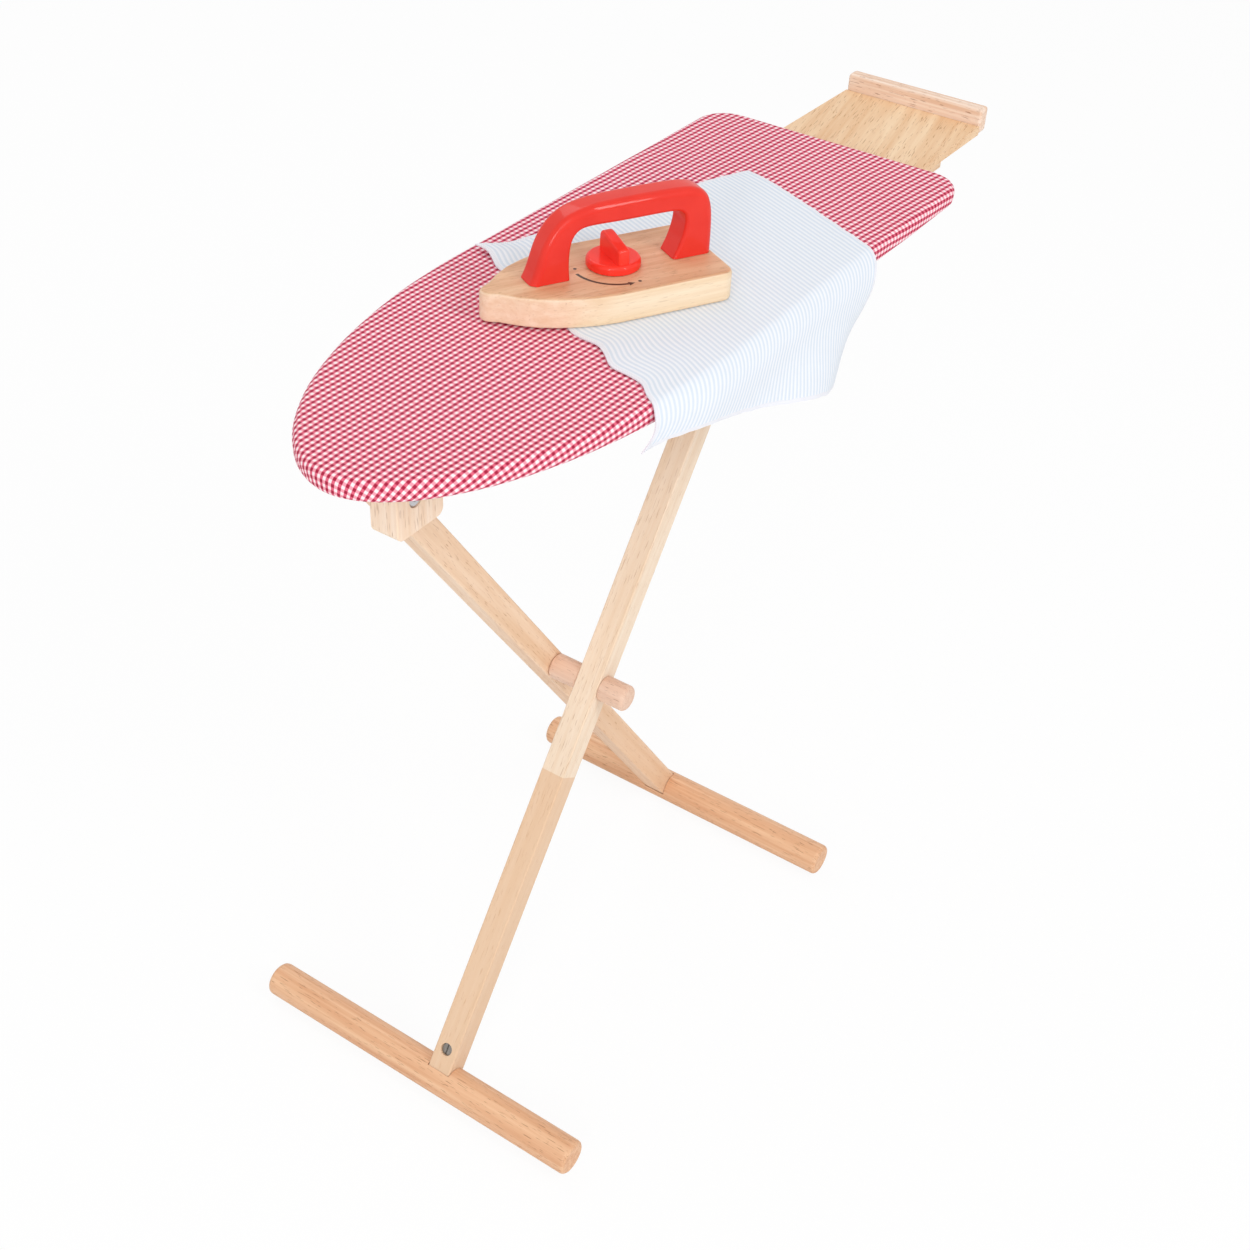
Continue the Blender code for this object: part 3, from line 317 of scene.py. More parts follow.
def makeFinish(name, lookName, light, dark, rough):
    look = finishLooks[lookName]
    made, spot = newMaterial(name)
    layers = [spot.speckle(*layer) for layer in look["layers"]]

    def mixed(wires, shares):
        return wires[0] * shares[0] + wires[1] * shares[1]

    steep = [layer.clamped(contrast) for layer, contrast in zip(layers, look["contrast"])]
    colour = mixed(steep, look["inColour"]).between(light, dark)
    return dress(made, look, colour, mixed(layers, look["inRough"]) + rough,
                 mixed(layers, look["inHeight"]))


ginghamLook = {
    "pitch": 0.0045,
    "white": "FFECEF", "pale": "F5A0B0", "mid": "E3647F", "full": "A8123A",
    "edge": 3.2,
    "thread": 0.00046, "glintFrom": 0.2,
    "yarn": (0.0012, 4.0, 2.0), "yarnTint": "A02A44",
    "rough": 0.8, "bump": 0.35, "depth": 0.00015,
    "shader": {"Specular IOR Level": 0.12, "Sheen Weight": 0.04},
}


def newWeave(name, look):
    # a cloth's material, its two coordinates, and the height of its threads and yarn
    made, spot = newMaterial(name, source="UV")
    across, along = spot.axis(0), spot.axis(1)
    threads = across.wave(look["thread"]) * along.wave(look["thread"])
    return made, spot, across, along, threads, spot.speckle(*look["yarn"])


def threaded(look, colour, threads, yarn):
    # painted highlight: raised threads are mixed a little towards white, and the yarn is uneven
    paintedGlint = threads.above(look["glintFrom"], 1 - look["glintFrom"])
    colour = (paintedGlint * 0.08).between(colour, "FFFFFF")
    return (yarn.clamped(2.0) * 0.08).between(colour, look["yarnTint"])


def makeGingham():
    look = ginghamLook
    made, spot, across, along, threads, yarn = newWeave("ginghamWeave", look)
    first = across.wave(look["pitch"]).clamped(look["edge"], 0.0)
    second = along.wave(look["pitch"]).clamped(look["edge"], 0.0)
    # the threads that run along the board show more than the others
    plain = first.between(look["white"], look["pale"])
    crossed = first.between(look["mid"], look["full"])
    colour = threaded(look, second.between(plain, crossed), threads, yarn)
    return dress(made, look, colour, yarn * 0.1 + look["rough"], threads * 0.5 + yarn * 0.5)


stripeLook = {
    "pitch": 0.0037, "white": "F6F9FE", "blue": "DFE8F3", "edge": 0.9,
    "thread": 0.00055, "glintFrom": 0.1,
    "yarn": ((0.0015, 0.004, 0.0015), 6.0, 2.0), "yarnTint": "CBD4E0",
    "hem": 0.0027, "hemEdge": 0.0002, "hemWhite": "F5F5FA", "hemShade": "D3D9E5",
    "loop": 0.0014, "fuzz": (0.0009, 2.0, 2.0),
    "rough": 0.82, "bump": 0.45, "depth": 0.0003,
    "shader": {"Specular IOR Level": 0.12, "Sheen Weight": 0.05},
}


def makeStripes(width, length):
    # faint stripes, and white overlocking whose loops cross the cloth's four edges
    look = stripeLook
    made, spot, across, along, threads, yarn = newWeave("stripedWeave", look)
    bands = across.wave(look["pitch"]).clamped(look["edge"], 0.0)
    plain = threaded(look, bands.between(look["white"], look["blue"]), threads, yarn)
    side = across.maths("MINIMUM", width - across)
    end = along.maths("MINIMUM", length - along)
    hem = 1 - side.maths("MINIMUM", end).above(look["hem"], look["hemEdge"])
    loops = (across + along).wave(look["loop"])
    fuzz = spot.speckle(*look["fuzz"])
    cord = loops.clamped(0.6, 0.0) * 0.35 + fuzz.clamped(2.0) * 0.15
    cord = cord.between(look["hemWhite"], look["hemShade"])
    height = (threads * 0.6 + yarn * 0.4) * (1 - hem) + hem * (loops * 0.8 + 2.0)
    return dress(made, look, hem.between(plain, cord), yarn * 0.1 + look["rough"], height)


iron = {
    "nose": (-0.173, 0.0372, 0.575358),
    "heading": -28.5,
    "length": 0.159,
    "baseTop": 0.02,
    "dialAt": 0.091,
    # where the side's wood ends below the top, over what height, and how rough both are
    "topBelow": 0.0009, "topOver": 0.0006, "baseRough": 0.4,
}
ironPlace = Matrix.Translation(iron["nose"]) @ Matrix.Rotation(
    radians(iron["heading"]), 4, "Z")
arrowShape = {
    "radius": 0.027, "half": 0.00098, "from": -174.0, "to": -96.0,
    "head": 9.5, "headHalf": 0.0025, "ink": "33180E", "inkShare": 0.95,
    "dots": ((171.6, 0.0252), (-78.5, 0.0268)), "dot": 0.0011,
    # how softly the ink ends: across the line, along it as an angle, and at a dot's edge
    "fade": 0.00012, "endFade": 0.004, "dotFade": 0.00015,
}


def makeIronBase():
    # pale sides, a tan top with figure, and the printed arrow round the dial
    arrow = arrowShape
    made, spot = newMaterial("ironBaseWood", iron["nose"], (0, 0, iron["heading"]))
    top, fibre, pores = woodParts(spot, "ironBase", 6.6)
    side = woodParts(spot, "ironSide", 2.9)[0]
    isTop = spot.axis(2).above(iron["baseTop"] - iron["topBelow"],
                               iron["topOver"])
    colour = isTop.between(side, top)
    x = spot.axis(0) - iron["dialAt"]
    y = spot.axis(1)
    off = (x.reach(y) - arrow["radius"]).maths("ABSOLUTE")
    angle = y.maths("ARCTAN2", x)
    begin, end = radians(arrow["from"]), radians(arrow["to"])
    tip = radians(arrow["to"] + arrow["head"])
    inHead = angle.above(end, arrow["endFade"])
    line = (1 - off.above(arrow["half"], arrow["fade"])) \
        * angle.above(begin, arrow["endFade"]) * (1 - inHead)
    width = (tip - angle) * (arrow["headHalf"] / (tip - end))
    head = (width - off).above(0.0, arrow["fade"]) * inHead
    ink = line.maths("MAXIMUM", head)
    for turn, away in arrow["dots"]:
        aside = x - away * cos(radians(turn))
        below = y - away * sin(radians(turn))
        dot = 1 - aside.reach(below).above(arrow["dot"], arrow["dotFade"])
        ink = ink.maths("MAXIMUM", dot)
    colour = (ink * isTop * arrow["inkShare"]).between(colour, arrow["ink"])
    return dressWood(made, colour, fibre, pores, iron["baseRough"])


panelBoard = makeFinish("panelBoard", "panel", "D9B98F", "B58E62", 0.65)
steel = makeFinish("zincSteel", "metal", "DADADD", "A9AAAF", 0.24)
darkSteel = makeFinish("dulledSteel", "metal", "A7A29C", "5F5A55", 0.34)
brass = makeFinish("plainBrass", "metal", "D9B56A", "A9853F", 0.26)
handleLacquer = makeFinish("handleLacquer", "lacquer", "E6382C", "DB2C21", 0.28)
# the dial's red is lighter than the handle's: partly its own brighter paint, partly painted light
# that makes up for the handle's shadow falling on it
dialLacquer = makeFinish("dialLacquer", "lacquer", "FC4032", "EA2D22", 0.28)
gingham = makeGingham()
felt = makeFinish("padFelt", "felt", "F1EEE6", "D9D3C6", 0.85)
woods["iron_base"] = makeIronBase()
print("materials made:", len(bpy.data.materials))


# helpers for modelling in edit mode
def onlySelect(piece):
    if bpy.context.object and bpy.context.object.mode == "EDIT":
        bpy.ops.object.mode_set(mode="OBJECT")
    bpy.ops.object.select_all(action="DESELECT")
    piece.select_set(True)
    bpy.context.view_layer.objects.active = piece


def named(name):
    piece = bpy.context.object
    piece.name = name
    piece.data.name = name
    return piece


def edit(piece, everything=False):
    onlySelect(piece)
    bpy.ops.object.mode_set(mode="EDIT")
    if everything:
        bpy.ops.mesh.select_all(action="SELECT")


def pick(piece, kind, test):
    bpy.ops.mesh.select_mode(type=kind)
    bpy.ops.mesh.select_all(action="DESELECT")
    shape = bmesh.from_edit_mesh(piece.data)
    group = {"VERT": shape.verts, "EDGE": shape.edges, "FACE": shape.faces}[kind]
    group.index_update()
    for item in group:
        if test(item):
            item.select_set(True)
    shape.select_flush_mode()
    bmesh.update_edit_mesh(piece.data)


def middle(edge):
    return (edge.verts[0].co + edge.verts[1].co) / 2


def extrude(x, y, z):
    bpy.ops.mesh.extrude_region_move(TRANSFORM_OT_translate={"value": (x, y, z)})


def closeShell():
    # merge what meets in one place, and turn every face outwards
    bpy.ops.mesh.select_all(action="SELECT")
    bpy.ops.mesh.remove_doubles(threshold=0.00001)
    bpy.ops.mesh.normals_make_consistent(inside=False)
    bpy.ops.object.mode_set(mode="OBJECT")


def applied(piece, kind, **settings):
    onlySelect(piece)
    modifier = piece.modifiers.new(kind.lower(), kind)
    for name, value in settings.items():
        setattr(modifier, name, value)
    bpy.ops.object.modifier_apply(modifier=modifier.name)


def settle(piece, place):
    onlySelect(piece)
    piece.matrix_world = place
    bpy.ops.object.transform_apply(location=True, rotation=True, scale=True)


def handOver(piece, made, node, angle=35):
    onlySelect(piece)
    bpy.ops.object.shade_smooth_by_angle(angle=radians(angle))
    piece.data.materials.clear()
    piece.data.materials.append(made)
    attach(piece, bodyOf[node])
    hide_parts(node)


def turnedPiece(name, rings, sides):
    # a disc extruded and scaled ring by ring, up the Z axis
    bpy.ops.object.select_all(action="DESELECT")
    bpy.ops.mesh.primitive_circle_add(vertices=sides, radius=rings[0][0], fill_type="NGON")
    piece = named(name)
    edit(piece, everything=True)
    bpy.ops.transform.translate(value=(0, 0, rings[0][1]))
    for (radius, height), (nextRadius, nextHeight) in zip(rings, rings[1:]):
        extrude(0, 0, nextHeight - height)
        share = nextRadius / radius
        bpy.ops.transform.resize(value=(share, share, 1), center_override=(0, 0, nextHeight))
    closeShell()
    return piece


def quarter(steps, start=0):
    # the angles of a quarter turn, in even steps
    return [pi / 2 * step / steps for step in range(start, steps + 1)]


def rounding(radius, height, corner, steps, upward=True):
    rings = []
    for turn in quarter(steps):
        out, up = cos(turn) * corner, sin(turn) * corner
        rings.append((radius - corner + out, height - corner + up) if upward
                     else (radius - corner + up, height + corner - out))
    return rings


def smoothed(node, made):
    # a copy of the plain solid, its loose triangles merged and its flat faces whole
    first, *others = node.split("_")
    piece = placed(first + "".join(word.capitalize() for word in others),
                   nodes[node].data.copy())
    edit(piece, everything=True)
    bpy.ops.mesh.remove_doubles(threshold=0.000005)
    bpy.ops.mesh.dissolve_limited(angle_limit=radians(0.4))
    handOver(piece, made, node, angle=32)
    applied(piece, "WEIGHTED_NORMAL", keep_sharp=True)


# hidden CAD pieces that keep their shape, and smooth copies of the others
for node in nodes:
    if "_screw_" in node:
        nodes[node].material_slots[0].material = steel
nodes["board_core"].material_slots[0].material = panelBoard
nodes["knob_insert"].material_slots[0].material = brass
for node in ("near_leg", "far_leg", "nose_block", "tray_plate", "tray_lip", "leg_guide",
             "near_foot", "far_foot", "iron_base"):
    smoothed(node, woods[node])
for node in ("nose_nut", "nose_inner_washer", "nose_outer_washer", "crossing_washer",
             "crossing_bolt", "near_foot_bolt", "far_foot_bolt"):
    smoothed(node, steel)
smoothed("near_barrel_nut", darkSteel)
smoothed("far_barrel_nut", darkSteel)
smoothed("nose_bolt", steel)
print("legs, feet, block, tray and fastenings finished")

# knob, turned on the lathe, and spacer, a smooth copy of the plain solid
knobShape = {"radius": 0.00985, "length": 0.0214, "corner": 0.003, "back": 0.0006,
             "bore": 0.005, "boreDepth": 0.0105, "sides": 96}


def makeKnob():
    shape = knobShape
    rings = rounding(shape["radius"], 0.0, shape["back"], 3, upward=False)
    rings += rounding(shape["radius"], shape["length"], shape["corner"], 7)
    knob = turnedPiece("clampKnob", rings, shape["sides"])
    edit(knob)  # bore for the threaded insert, sunk into the inner end
    pick(knob, "FACE", lambda face: face.normal.z < -0.9)
    bpy.ops.mesh.inset(thickness=shape["radius"] - shape["back"] - shape["bore"])
    extrude(0, 0, shape["boreDepth"])
    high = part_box("clamp_knob")[1]
    settle(knob, Matrix.Translation((crossing[0], high.y, crossing[2]))
           @ Matrix.Rotation(radians(90), 4, "X"))
    handOver(knob, woods["clamp_knob"], "clamp_knob")


makeKnob()
smoothed("crossing_spacer", woods["crossing_spacer"])

# iron handle: a side profile laid strip by strip, then widened and rounded
handleShape = {
    "width": 0.0195, "height": 0.0472, "lift": 0.0203,
    "outerRound": 0.005, "innerRound": 0.0024, "footClear": 0.0002,
    # (along, up) of the outer and the inner line, as shares of length and height
    "stations": (
        ((0.189, 0.0), (0.357, 0.0)), ((0.207, 0.11), (0.353, 0.12)),
        ((0.226, 0.318), (0.352, 0.3)), ((0.245, 0.508), (0.357, 0.5)),
        ((0.275, 0.675), (0.375, 0.625)), ((0.308, 0.797), (0.4, 0.682)),
        ((0.36, 0.913), (0.43, 0.7)), ((0.444, 0.975), (0.48, 0.703)),
        ((0.528, 0.992), (0.566, 0.692)), ((0.704, 1.0), (0.698, 0.697)),
        ((0.83, 0.995), (0.785, 0.697)), ((0.895, 0.975), (0.828, 0.686)),
        ((0.937, 0.915), (0.85, 0.64)), ((0.964, 0.825), (0.859, 0.575)),
        ((0.98, 0.66), (0.861, 0.5)), ((0.986, 0.45), (0.855, 0.36)),
        ((0.987, 0.2), (0.838, 0.17)), ((0.987, 0.0), (0.811, 0.0)),
    ),
}


def nudge(piece, old, new, first=0):
    # of the vertices from the first on, the one at the old place goes to the new
    near = 0.00002
    pick(piece, "VERT", lambda vert: vert.index >= first and (vert.co - old).length < near)
    bpy.ops.transform.translate(value=new - old)


def sidePiece(name, stations, width):
    # (along, up) pairs joined to a strip, which is smoothed and given its width
    rows = [[Vector((along, -width / 2, up)) for along, up in pair] for pair in stations]
    bpy.ops.object.select_all(action="DESELECT")
    bpy.ops.mesh.primitive_plane_add(size=0.01)
    piece = named(name)
    edit(piece)
    pick(piece, "VERT", lambda vert: vert.co.y > 0)
    bpy.ops.mesh.delete(type="VERT")
    nudge(piece, Vector((-0.005, -0.005, 0)), rows[0][0])
    nudge(piece, Vector((0.005, -0.005, 0)), rows[0][1])
    for before, after in zip(rows, rows[1:]):
        count = len(bmesh.from_edit_mesh(piece.data).verts)
        pick(piece, "VERT", lambda vert: vert.index >= count - 2)
        extrude(0, 0, 0)
        for old, new in zip(before, after):
            nudge(piece, old, new, count)
    bpy.ops.object.mode_set(mode="OBJECT")
    applied(piece, "SUBSURF", levels=2, render_levels=2, boundary_smooth="PRESERVE_CORNERS")
    edit(piece, everything=True)
    bpy.ops.mesh.dissolve_limited(angle_limit=radians(0.05))
    bpy.ops.mesh.select_all(action="SELECT")
    extrude(0, width, 0)
    bpy.ops.mesh.select_all(action="SELECT")
    bpy.ops.mesh.normals_make_consistent(inside=False)
    return piece


def alongSide(edge, half):
    # a sharp edge that lies in one of the flat sides of a strip this wide
    return edge.calc_face_angle(0) > 1.0 and abs(abs(middle(edge).y) - half) < 0.0001


def apart(spot, line):
    # how far a place lies from a line of (along, up) points
    nearest = 1.0
    here = Vector((spot.x, spot.z))
    for first, second in zip(line, line[1:]):
        start, run = Vector(first), Vector(second) - Vector(first)
        share = min(max((here - start).dot(run) / run.length_squared, 0.0), 1.0)
        nearest = min(nearest, (here - start - run * share).length)
    return nearest


def makeHandle():
    shape = handleShape
    half = shape["width"] / 2
    stations = [[(iron["length"] * along, shape["lift"] + shape["height"] * up)
                 for along, up in pair] for pair in shape["stations"]]
    outer = [pair[0] for pair in stations]
    inner = [pair[1] for pair in stations]
    handle = sidePiece("ironHandle", stations, shape["width"])
    for line, other, size in ((outer, inner, shape["outerRound"]),
                              (inner, outer, shape["innerRound"])):
        pick(handle, "EDGE", lambda edge: alongSide(edge, half)
             and middle(edge).z > shape["lift"] + shape["footClear"]
             and apart(middle(edge), line) < apart(middle(edge), other))
        bpy.ops.mesh.bevel(offset=size, segments=6, profile=0.5)
    closeShell()
    settle(handle, ironPlace)
    handOver(handle, handleLacquer, "iron_handle", angle=40)
    applied(handle, "WEIGHTED_NORMAL", keep_sharp=True)


makeHandle()

# dial: a turned disc with a plate across it, high at its far end
dialShape = {
    "pin": 0.003, "pinLength": 0.01, "gap": 0.0003, "radius": 0.0175, "thickness": 0.006,
    "corner": 0.0026, "lowerCorner": 0.0008, "sides": 96,
    "gripWidth": 0.0078, "gripRound": 0.0016, "sunk": -0.003,
    # (across the iron, up) of the grip's upper line, from its far end
    "gripLine": ((0.0127, -0.001), (0.0128, 0.004), (0.0127, 0.009), (0.012, 0.0117),
                 (0.0103, 0.0132), (0.008, 0.0135), (0.0045, 0.013), (-0.001, 0.0121),
                 (-0.007, 0.011), (-0.0118, 0.0103), (-0.014, 0.0097), (-0.0149, 0.0084),
                 (-0.015, 0.0045), (-0.015, -0.001)),
}


def makeDial():
    shape = dialShape
    upper = shape["gap"] + shape["thickness"]
    rings = [(shape["pin"], -shape["pinLength"]), (shape["pin"], shape["gap"])]
    rings += rounding(shape["radius"], shape["gap"], shape["lowerCorner"], 3, upward=False)
    rings += rounding(shape["radius"], upper, shape["corner"], 6)
    dial = turnedPiece("ironDial", rings, shape["sides"])
    line = shape["gripLine"]
    first, last = line[0][0], line[-1][0]
    stations = [((first + (last - first) * step / (len(line) - 1), shape["sunk"]), point)
                for step, point in enumerate(line)]
    grip = sidePiece("grip", stations, shape["gripWidth"])
    half = shape["gripWidth"] / 2
    pick(grip, "EDGE", lambda edge: alongSide(edge, half))
    bpy.ops.mesh.bevel(offset=shape["gripRound"], segments=4, profile=0.5)
    closeShell()
    settle(grip, Matrix.Translation((0, 0, upper)) @ Matrix.Rotation(radians(90), 4, "Z"))
    applied(dial, "BOOLEAN", object=grip, operation="UNION", solver="EXACT")
    bpy.data.objects.remove(grip, do_unlink=True)
    settle(dial, ironPlace @ Matrix.Translation(
        (iron["dialAt"], 0, iron["baseTop"])))
    handOver(dial, dialLacquer, "iron_dial", angle=40)
    applied(dial, "WEIGHTED_NORMAL", keep_sharp=True)


makeDial()
print("knob, handle and dial modelled")

# cover, drawn over the board and gathered below it
coverLow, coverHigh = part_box("gingham_cover")
board = {
    "noseX": coverLow.x, "rearX": coverHigh.x, "top": coverHigh.z, "bottom": coverLow.z,
    "half": coverHigh.y, "noseLength": 0.247, "nosePower": 1.93, "corner": 0.026,
}
coverShape = {
    "thickness": 0.0009, "topRound": 0.0055, "rimRound": 0.005, "rimWidth": 0.0275,
    "noseSteps": 70, "sideSteps": 90, "cornerSteps": 14, "rows": 76,
    "wallSteps": 5, "foldSteps": 6,
    # the top's sinking, over spots of this size, from this far inside the edge
    "sag": 0.00022, "sagSize": 0.045, "sagFrom": 0.02, "creaseSize": 0.01, "crease": 0.6,
    # gathers in the edge, from this far below the top and fully so much further down
    "pucker": 0.0008, "puckerPitch": 0.011, "puckerFrom": 0.003, "puckerOver": 0.009,
    # how the cotton was drawn over the board: turned, bent and stretched along it
    "turn": -0.04, "bend": -0.142, "scale": 0.979, "stretch": -0.1105,
    "drift": ((0.0007, 0.05), (0.0003, 0.012)),  # (how far its threads stray, over what size)
    "wobble": 0.0009, "wobbleSize": 0.05,
    "trayHalf": 0.0606, "trayTop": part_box("tray_plate")[1].z, "trayGap": 0.0003,
}


def outlineSide(inset=0.0):
    # one half of the board's outline from the nose tip, with its outward direction
    half, noseX, noseLength = board["half"], board["noseX"], board["noseLength"]
    found = []
    power = 2 / board["nosePower"]
    for turn in quarter(coverShape["noseSteps"]):
        c, s = cos(turn), sin(turn)
        spot = Vector((noseX + noseLength * (1 - c ** power), half * s ** power, 0))
        slope = Vector((c ** (2 - power) / noseLength * -1, s ** (2 - power) / half, 0))
        found.append((spot, slope.normalized()))
    straight = noseX + noseLength
    last = board["rearX"] - board["corner"]
    for step in range(1, coverShape["sideSteps"]):
        share = step / coverShape["sideSteps"]
        found.append((Vector((straight + (last - straight) * share, half, 0)),
                      Vector((0, 1, 0))))
    for turn in quarter(coverShape["cornerSteps"]):
        way = Vector((sin(turn), cos(turn), 0))
        found.append((Vector((last, half - board["corner"], 0)) + way * board["corner"], way))
    return [(spot - way * inset, way) for spot, way in found]


def distances(route):
    walked = [0.0]
    for first, second in zip(route, route[1:]):
        walked.append(walked[-1] + (second - first).length)
    return walked


def ringQuads(rings):
    for level, (lower, upper) in enumerate(zip(rings, rings[1:])):
        for side in range(len(lower)):
            after = (side + 1) % len(lower)
            yield level, side, (lower[side], lower[after], upper[after], upper[side])


def capEnds(shell, rings):
    shell.faces.new(rings[0])
    shell.faces.new(list(reversed(rings[-1])))
    bmesh.ops.recalc_face_normals(shell, faces=shell.faces)


def fromShell(name, shell):
    mesh = bpy.data.meshes.new(name)
    shell.to_mesh(mesh)
    shell.free()
    return placed(name, mesh)


def softNoise(x, y, size, seed):
    return noise.noise(Vector((x / size, y / size, seed)))


def strayed(value, u, v, seeds):
    for (far, size), seed in zip(coverShape["drift"], seeds):
        value += far * softNoise(u, v, size, seed)
    return value


def coverProfile(depth):
    # (outward from the inner line, down, whether it is the rim below)
    shape = coverShape
    ring, fold, steps = shape["topRound"], shape["rimRound"], shape["wallSteps"]
    profile = [(ring * sin(turn), ring * (1 - cos(turn)), 0)
               for turn in quarter(steps, 1)]
    profile += [(ring, ring + (depth - ring - fold) * step / steps, 0)
                for step in range(1, steps + 1)]
    steps = shape["foldSteps"]
    profile += [(ring - fold * (1 - cos(turn)), depth - fold + fold * sin(turn), 1)
                for turn in quarter(steps, 1)]
    profile += [(ring - fold - (shape["rimWidth"] - fold) * step / steps, depth, 1)
                for step in range(1, steps + 1)]
    return profile


def makeCover():
    shape = coverShape
    side = outlineSide()
    ring, fold = shape["topRound"], shape["rimRound"]
    top = board["top"]
    depth = top - board["bottom"]
    inner = [spot - way * ring for spot, way in side]
    shell = bmesh.new()
    uvOf = {}

    def corner(x, y, z, flatX, flatY):
        vert = shell.verts.new((x, y, z))
        turn = shape["turn"] + shape["bend"] * flatX
        u = shape["scale"] * flatX + shape["stretch"] * flatX * flatX + turn * flatY
        v = (shape["scale"] + 2 * shape["stretch"] * flatX) * flatY \
            - (shape["turn"] + shape["bend"] * flatX / 2) * flatX
        uvOf[vert] = (strayed(u, u, v, (3.0, 8.0)), strayed(v, u, v, (5.0, 9.0)))
        return vert

    def sag(x, y, edge):
        # the top sinks a hair between the tight edges
        deep = 0.5 + 0.5 * softNoise(x, y, shape["sagSize"], 1.0)
        tight = min(edge / shape["sagFrom"], 1.0)
        lines = 0.5 + 0.5 * softNoise(x, y, shape["creaseSize"], 4.0)
        return shape["sag"] * (deep * tight + shape["crease"] * lines * (1 - tight))

    tip = corner(inner[0].x, 0, top, inner[0].x, 0)
    columns = []
    rows = shape["rows"]
    for spot in inner[1:]:
        column = []
        for row in range(rows + 1):
            y = spot.y * (2 * row / rows - 1)
            edge = min(spot.y - abs(y), inner[-1].x - spot.x, spot.x - inner[0].x)
            column.append(corner(spot.x, y, top - sag(spot.x, y, edge), spot.x, y))
        columns.append(column)
    for row in range(rows):
        shell.faces.new((tip, columns[0][row], columns[0][row + 1]))
    for left, right in zip(columns, columns[1:]):
        for row in range(rows):
            shell.faces.new((left[row], right[row], right[row + 1], left[row + 1]))
    # round the boundary: near side from the tip, the rear, then the far side back
    rim = [(tip, Vector((-1, 0, 0)))]
    rim += [(column[0], Vector((way.x, -way.y, 0))) for column, (spot, way)
            in zip(columns, side[1:])]
    rim += [(vert, Vector((1, 0, 0))) for vert in columns[-1][1:-1]]
    rim += [(column[-1], way) for column, (spot, way)
            in zip(reversed(columns), reversed(side[1:]))]
    profile = coverProfile(depth)
    count = len(rim)
    rings = [[vert for vert, way in rim]]
    notch = [abs(vert.co.y) < shape["trayHalf"] and way.x > 0.99 for vert, way in rim]
    run = distances([vert.co for vert, way in rim])
    last = (0.0, 0.0)
    walked = 0.0
    for out, down, below in profile:
        walked += hypot(out - last[0], down - last[1])
        last = (out, down)
        loop = []
        for index, (vert, way) in enumerate(rim):
            gather = softNoise(run[index], down * 0.15, shape["puckerPitch"], 12.0)
            fine = softNoise(run[index], down * 0.1, shape["puckerPitch"] * 0.45, 14.0)
            ripple = (0.5 + 0.35 * gather + 0.25 * fine) * shape["pucker"]
            pull = ripple * min(max((down - shape["puckerFrom"]) / shape["puckerOver"], 0.0), 1.0)
            height = top - down
            if below and out < ring - fold + 0.0001:
                share = (ring - out) / shape["rimWidth"]
                height -= ripple * 0.9 * share * share
            if notch[index]:
                height = max(height, shape["trayTop"] + shape["trayGap"])
            wobble = shape["wobble"] * (0.5 + 0.5 * softNoise(
                run[index], 0, shape["wobbleSize"], 41.0)) * min(out / ring, 1.0)
            spot = vert.co + way * (out - wobble - (pull * 0.5 if below else pull))
            flat = vert.co + way * walked
            loop.append(corner(spot.x, spot.y, height, flat.x, flat.y))
        rings.append(loop)
    reached = [0.0] + [down for out, down, below in profile]
    for level, (upper, lower) in enumerate(zip(rings, rings[1:])):
        atTray = reached[level] > top - shape["trayTop"] - shape["trayGap"]
        for index in range(count):
            after = (index + 1) % count
            if atTray and (notch[index] or notch[after]):
                continue
            shell.faces.new((upper[index], lower[index], lower[after], upper[after]))
    loose = [vert for vert in shell.verts if not vert.link_faces]
    bmesh.ops.delete(shell, geom=loose, context="VERTS")
    uvLayer = shell.loops.layers.uv.new("flat")
    for face in shell.faces:
        for loop in face.loops:
            loop[uvLayer].uv = uvOf[loop.vert]
    bmesh.ops.recalc_face_normals(shell, faces=shell.faces)
    area = sum(face.calc_area() for face in shell.faces)
    cover = fromShell("ginghamCover", shell)
    mesh = cover.data
    if mesh.polygons[len(mesh.polygons) // 4].normal.z < 0:
        mesh.flip_normals()
    applied(cover, "SOLIDIFY", thickness=shape["thickness"], offset=-1.0,
            use_even_offset=False)
    handOver(cover, gingham, "gingham_cover", angle=60)
    return cover


cover = makeCover()
print("cover gathered")

# elastic hem: a gathered roll round the rim's inner edge
hemLow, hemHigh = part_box("elastic_hem")
hemShape = {
    "radius": 0.00125, "sides": 10, "spacing": 0.0012, "level": (hemLow.z + hemHigh.z) / 2,
    "inset": 0.0294, "endY": 0.0619, "endShare": 0.6,
    "gather": 0.22, "pitch": 0.0028,
}


def hemRoute():
    # from the near side of the tray round the nose to its far side
    shape = hemShape
    rear = board["rearX"] - shape["inset"]
    half = [Vector((spot.x, spot.y, shape["level"])) for spot, way
            in outlineSide(shape["inset"]) if way.x < 0.999 and spot.x < rear]
    far = half[1:] + [Vector((rear, shape["endY"], shape["level"]))]
    near = [Vector((spot.x, -spot.y, spot.z)) for spot in reversed(far)]
    coarse = near + [half[0]] + far
    route = []
    for first, second in zip(coarse, coarse[1:]):
        pieces = max(1, round((second - first).length / shape["spacing"]))
        route += [first.lerp(second, step / pieces) for step in range(pieces)]
    return route + [coarse[-1]]


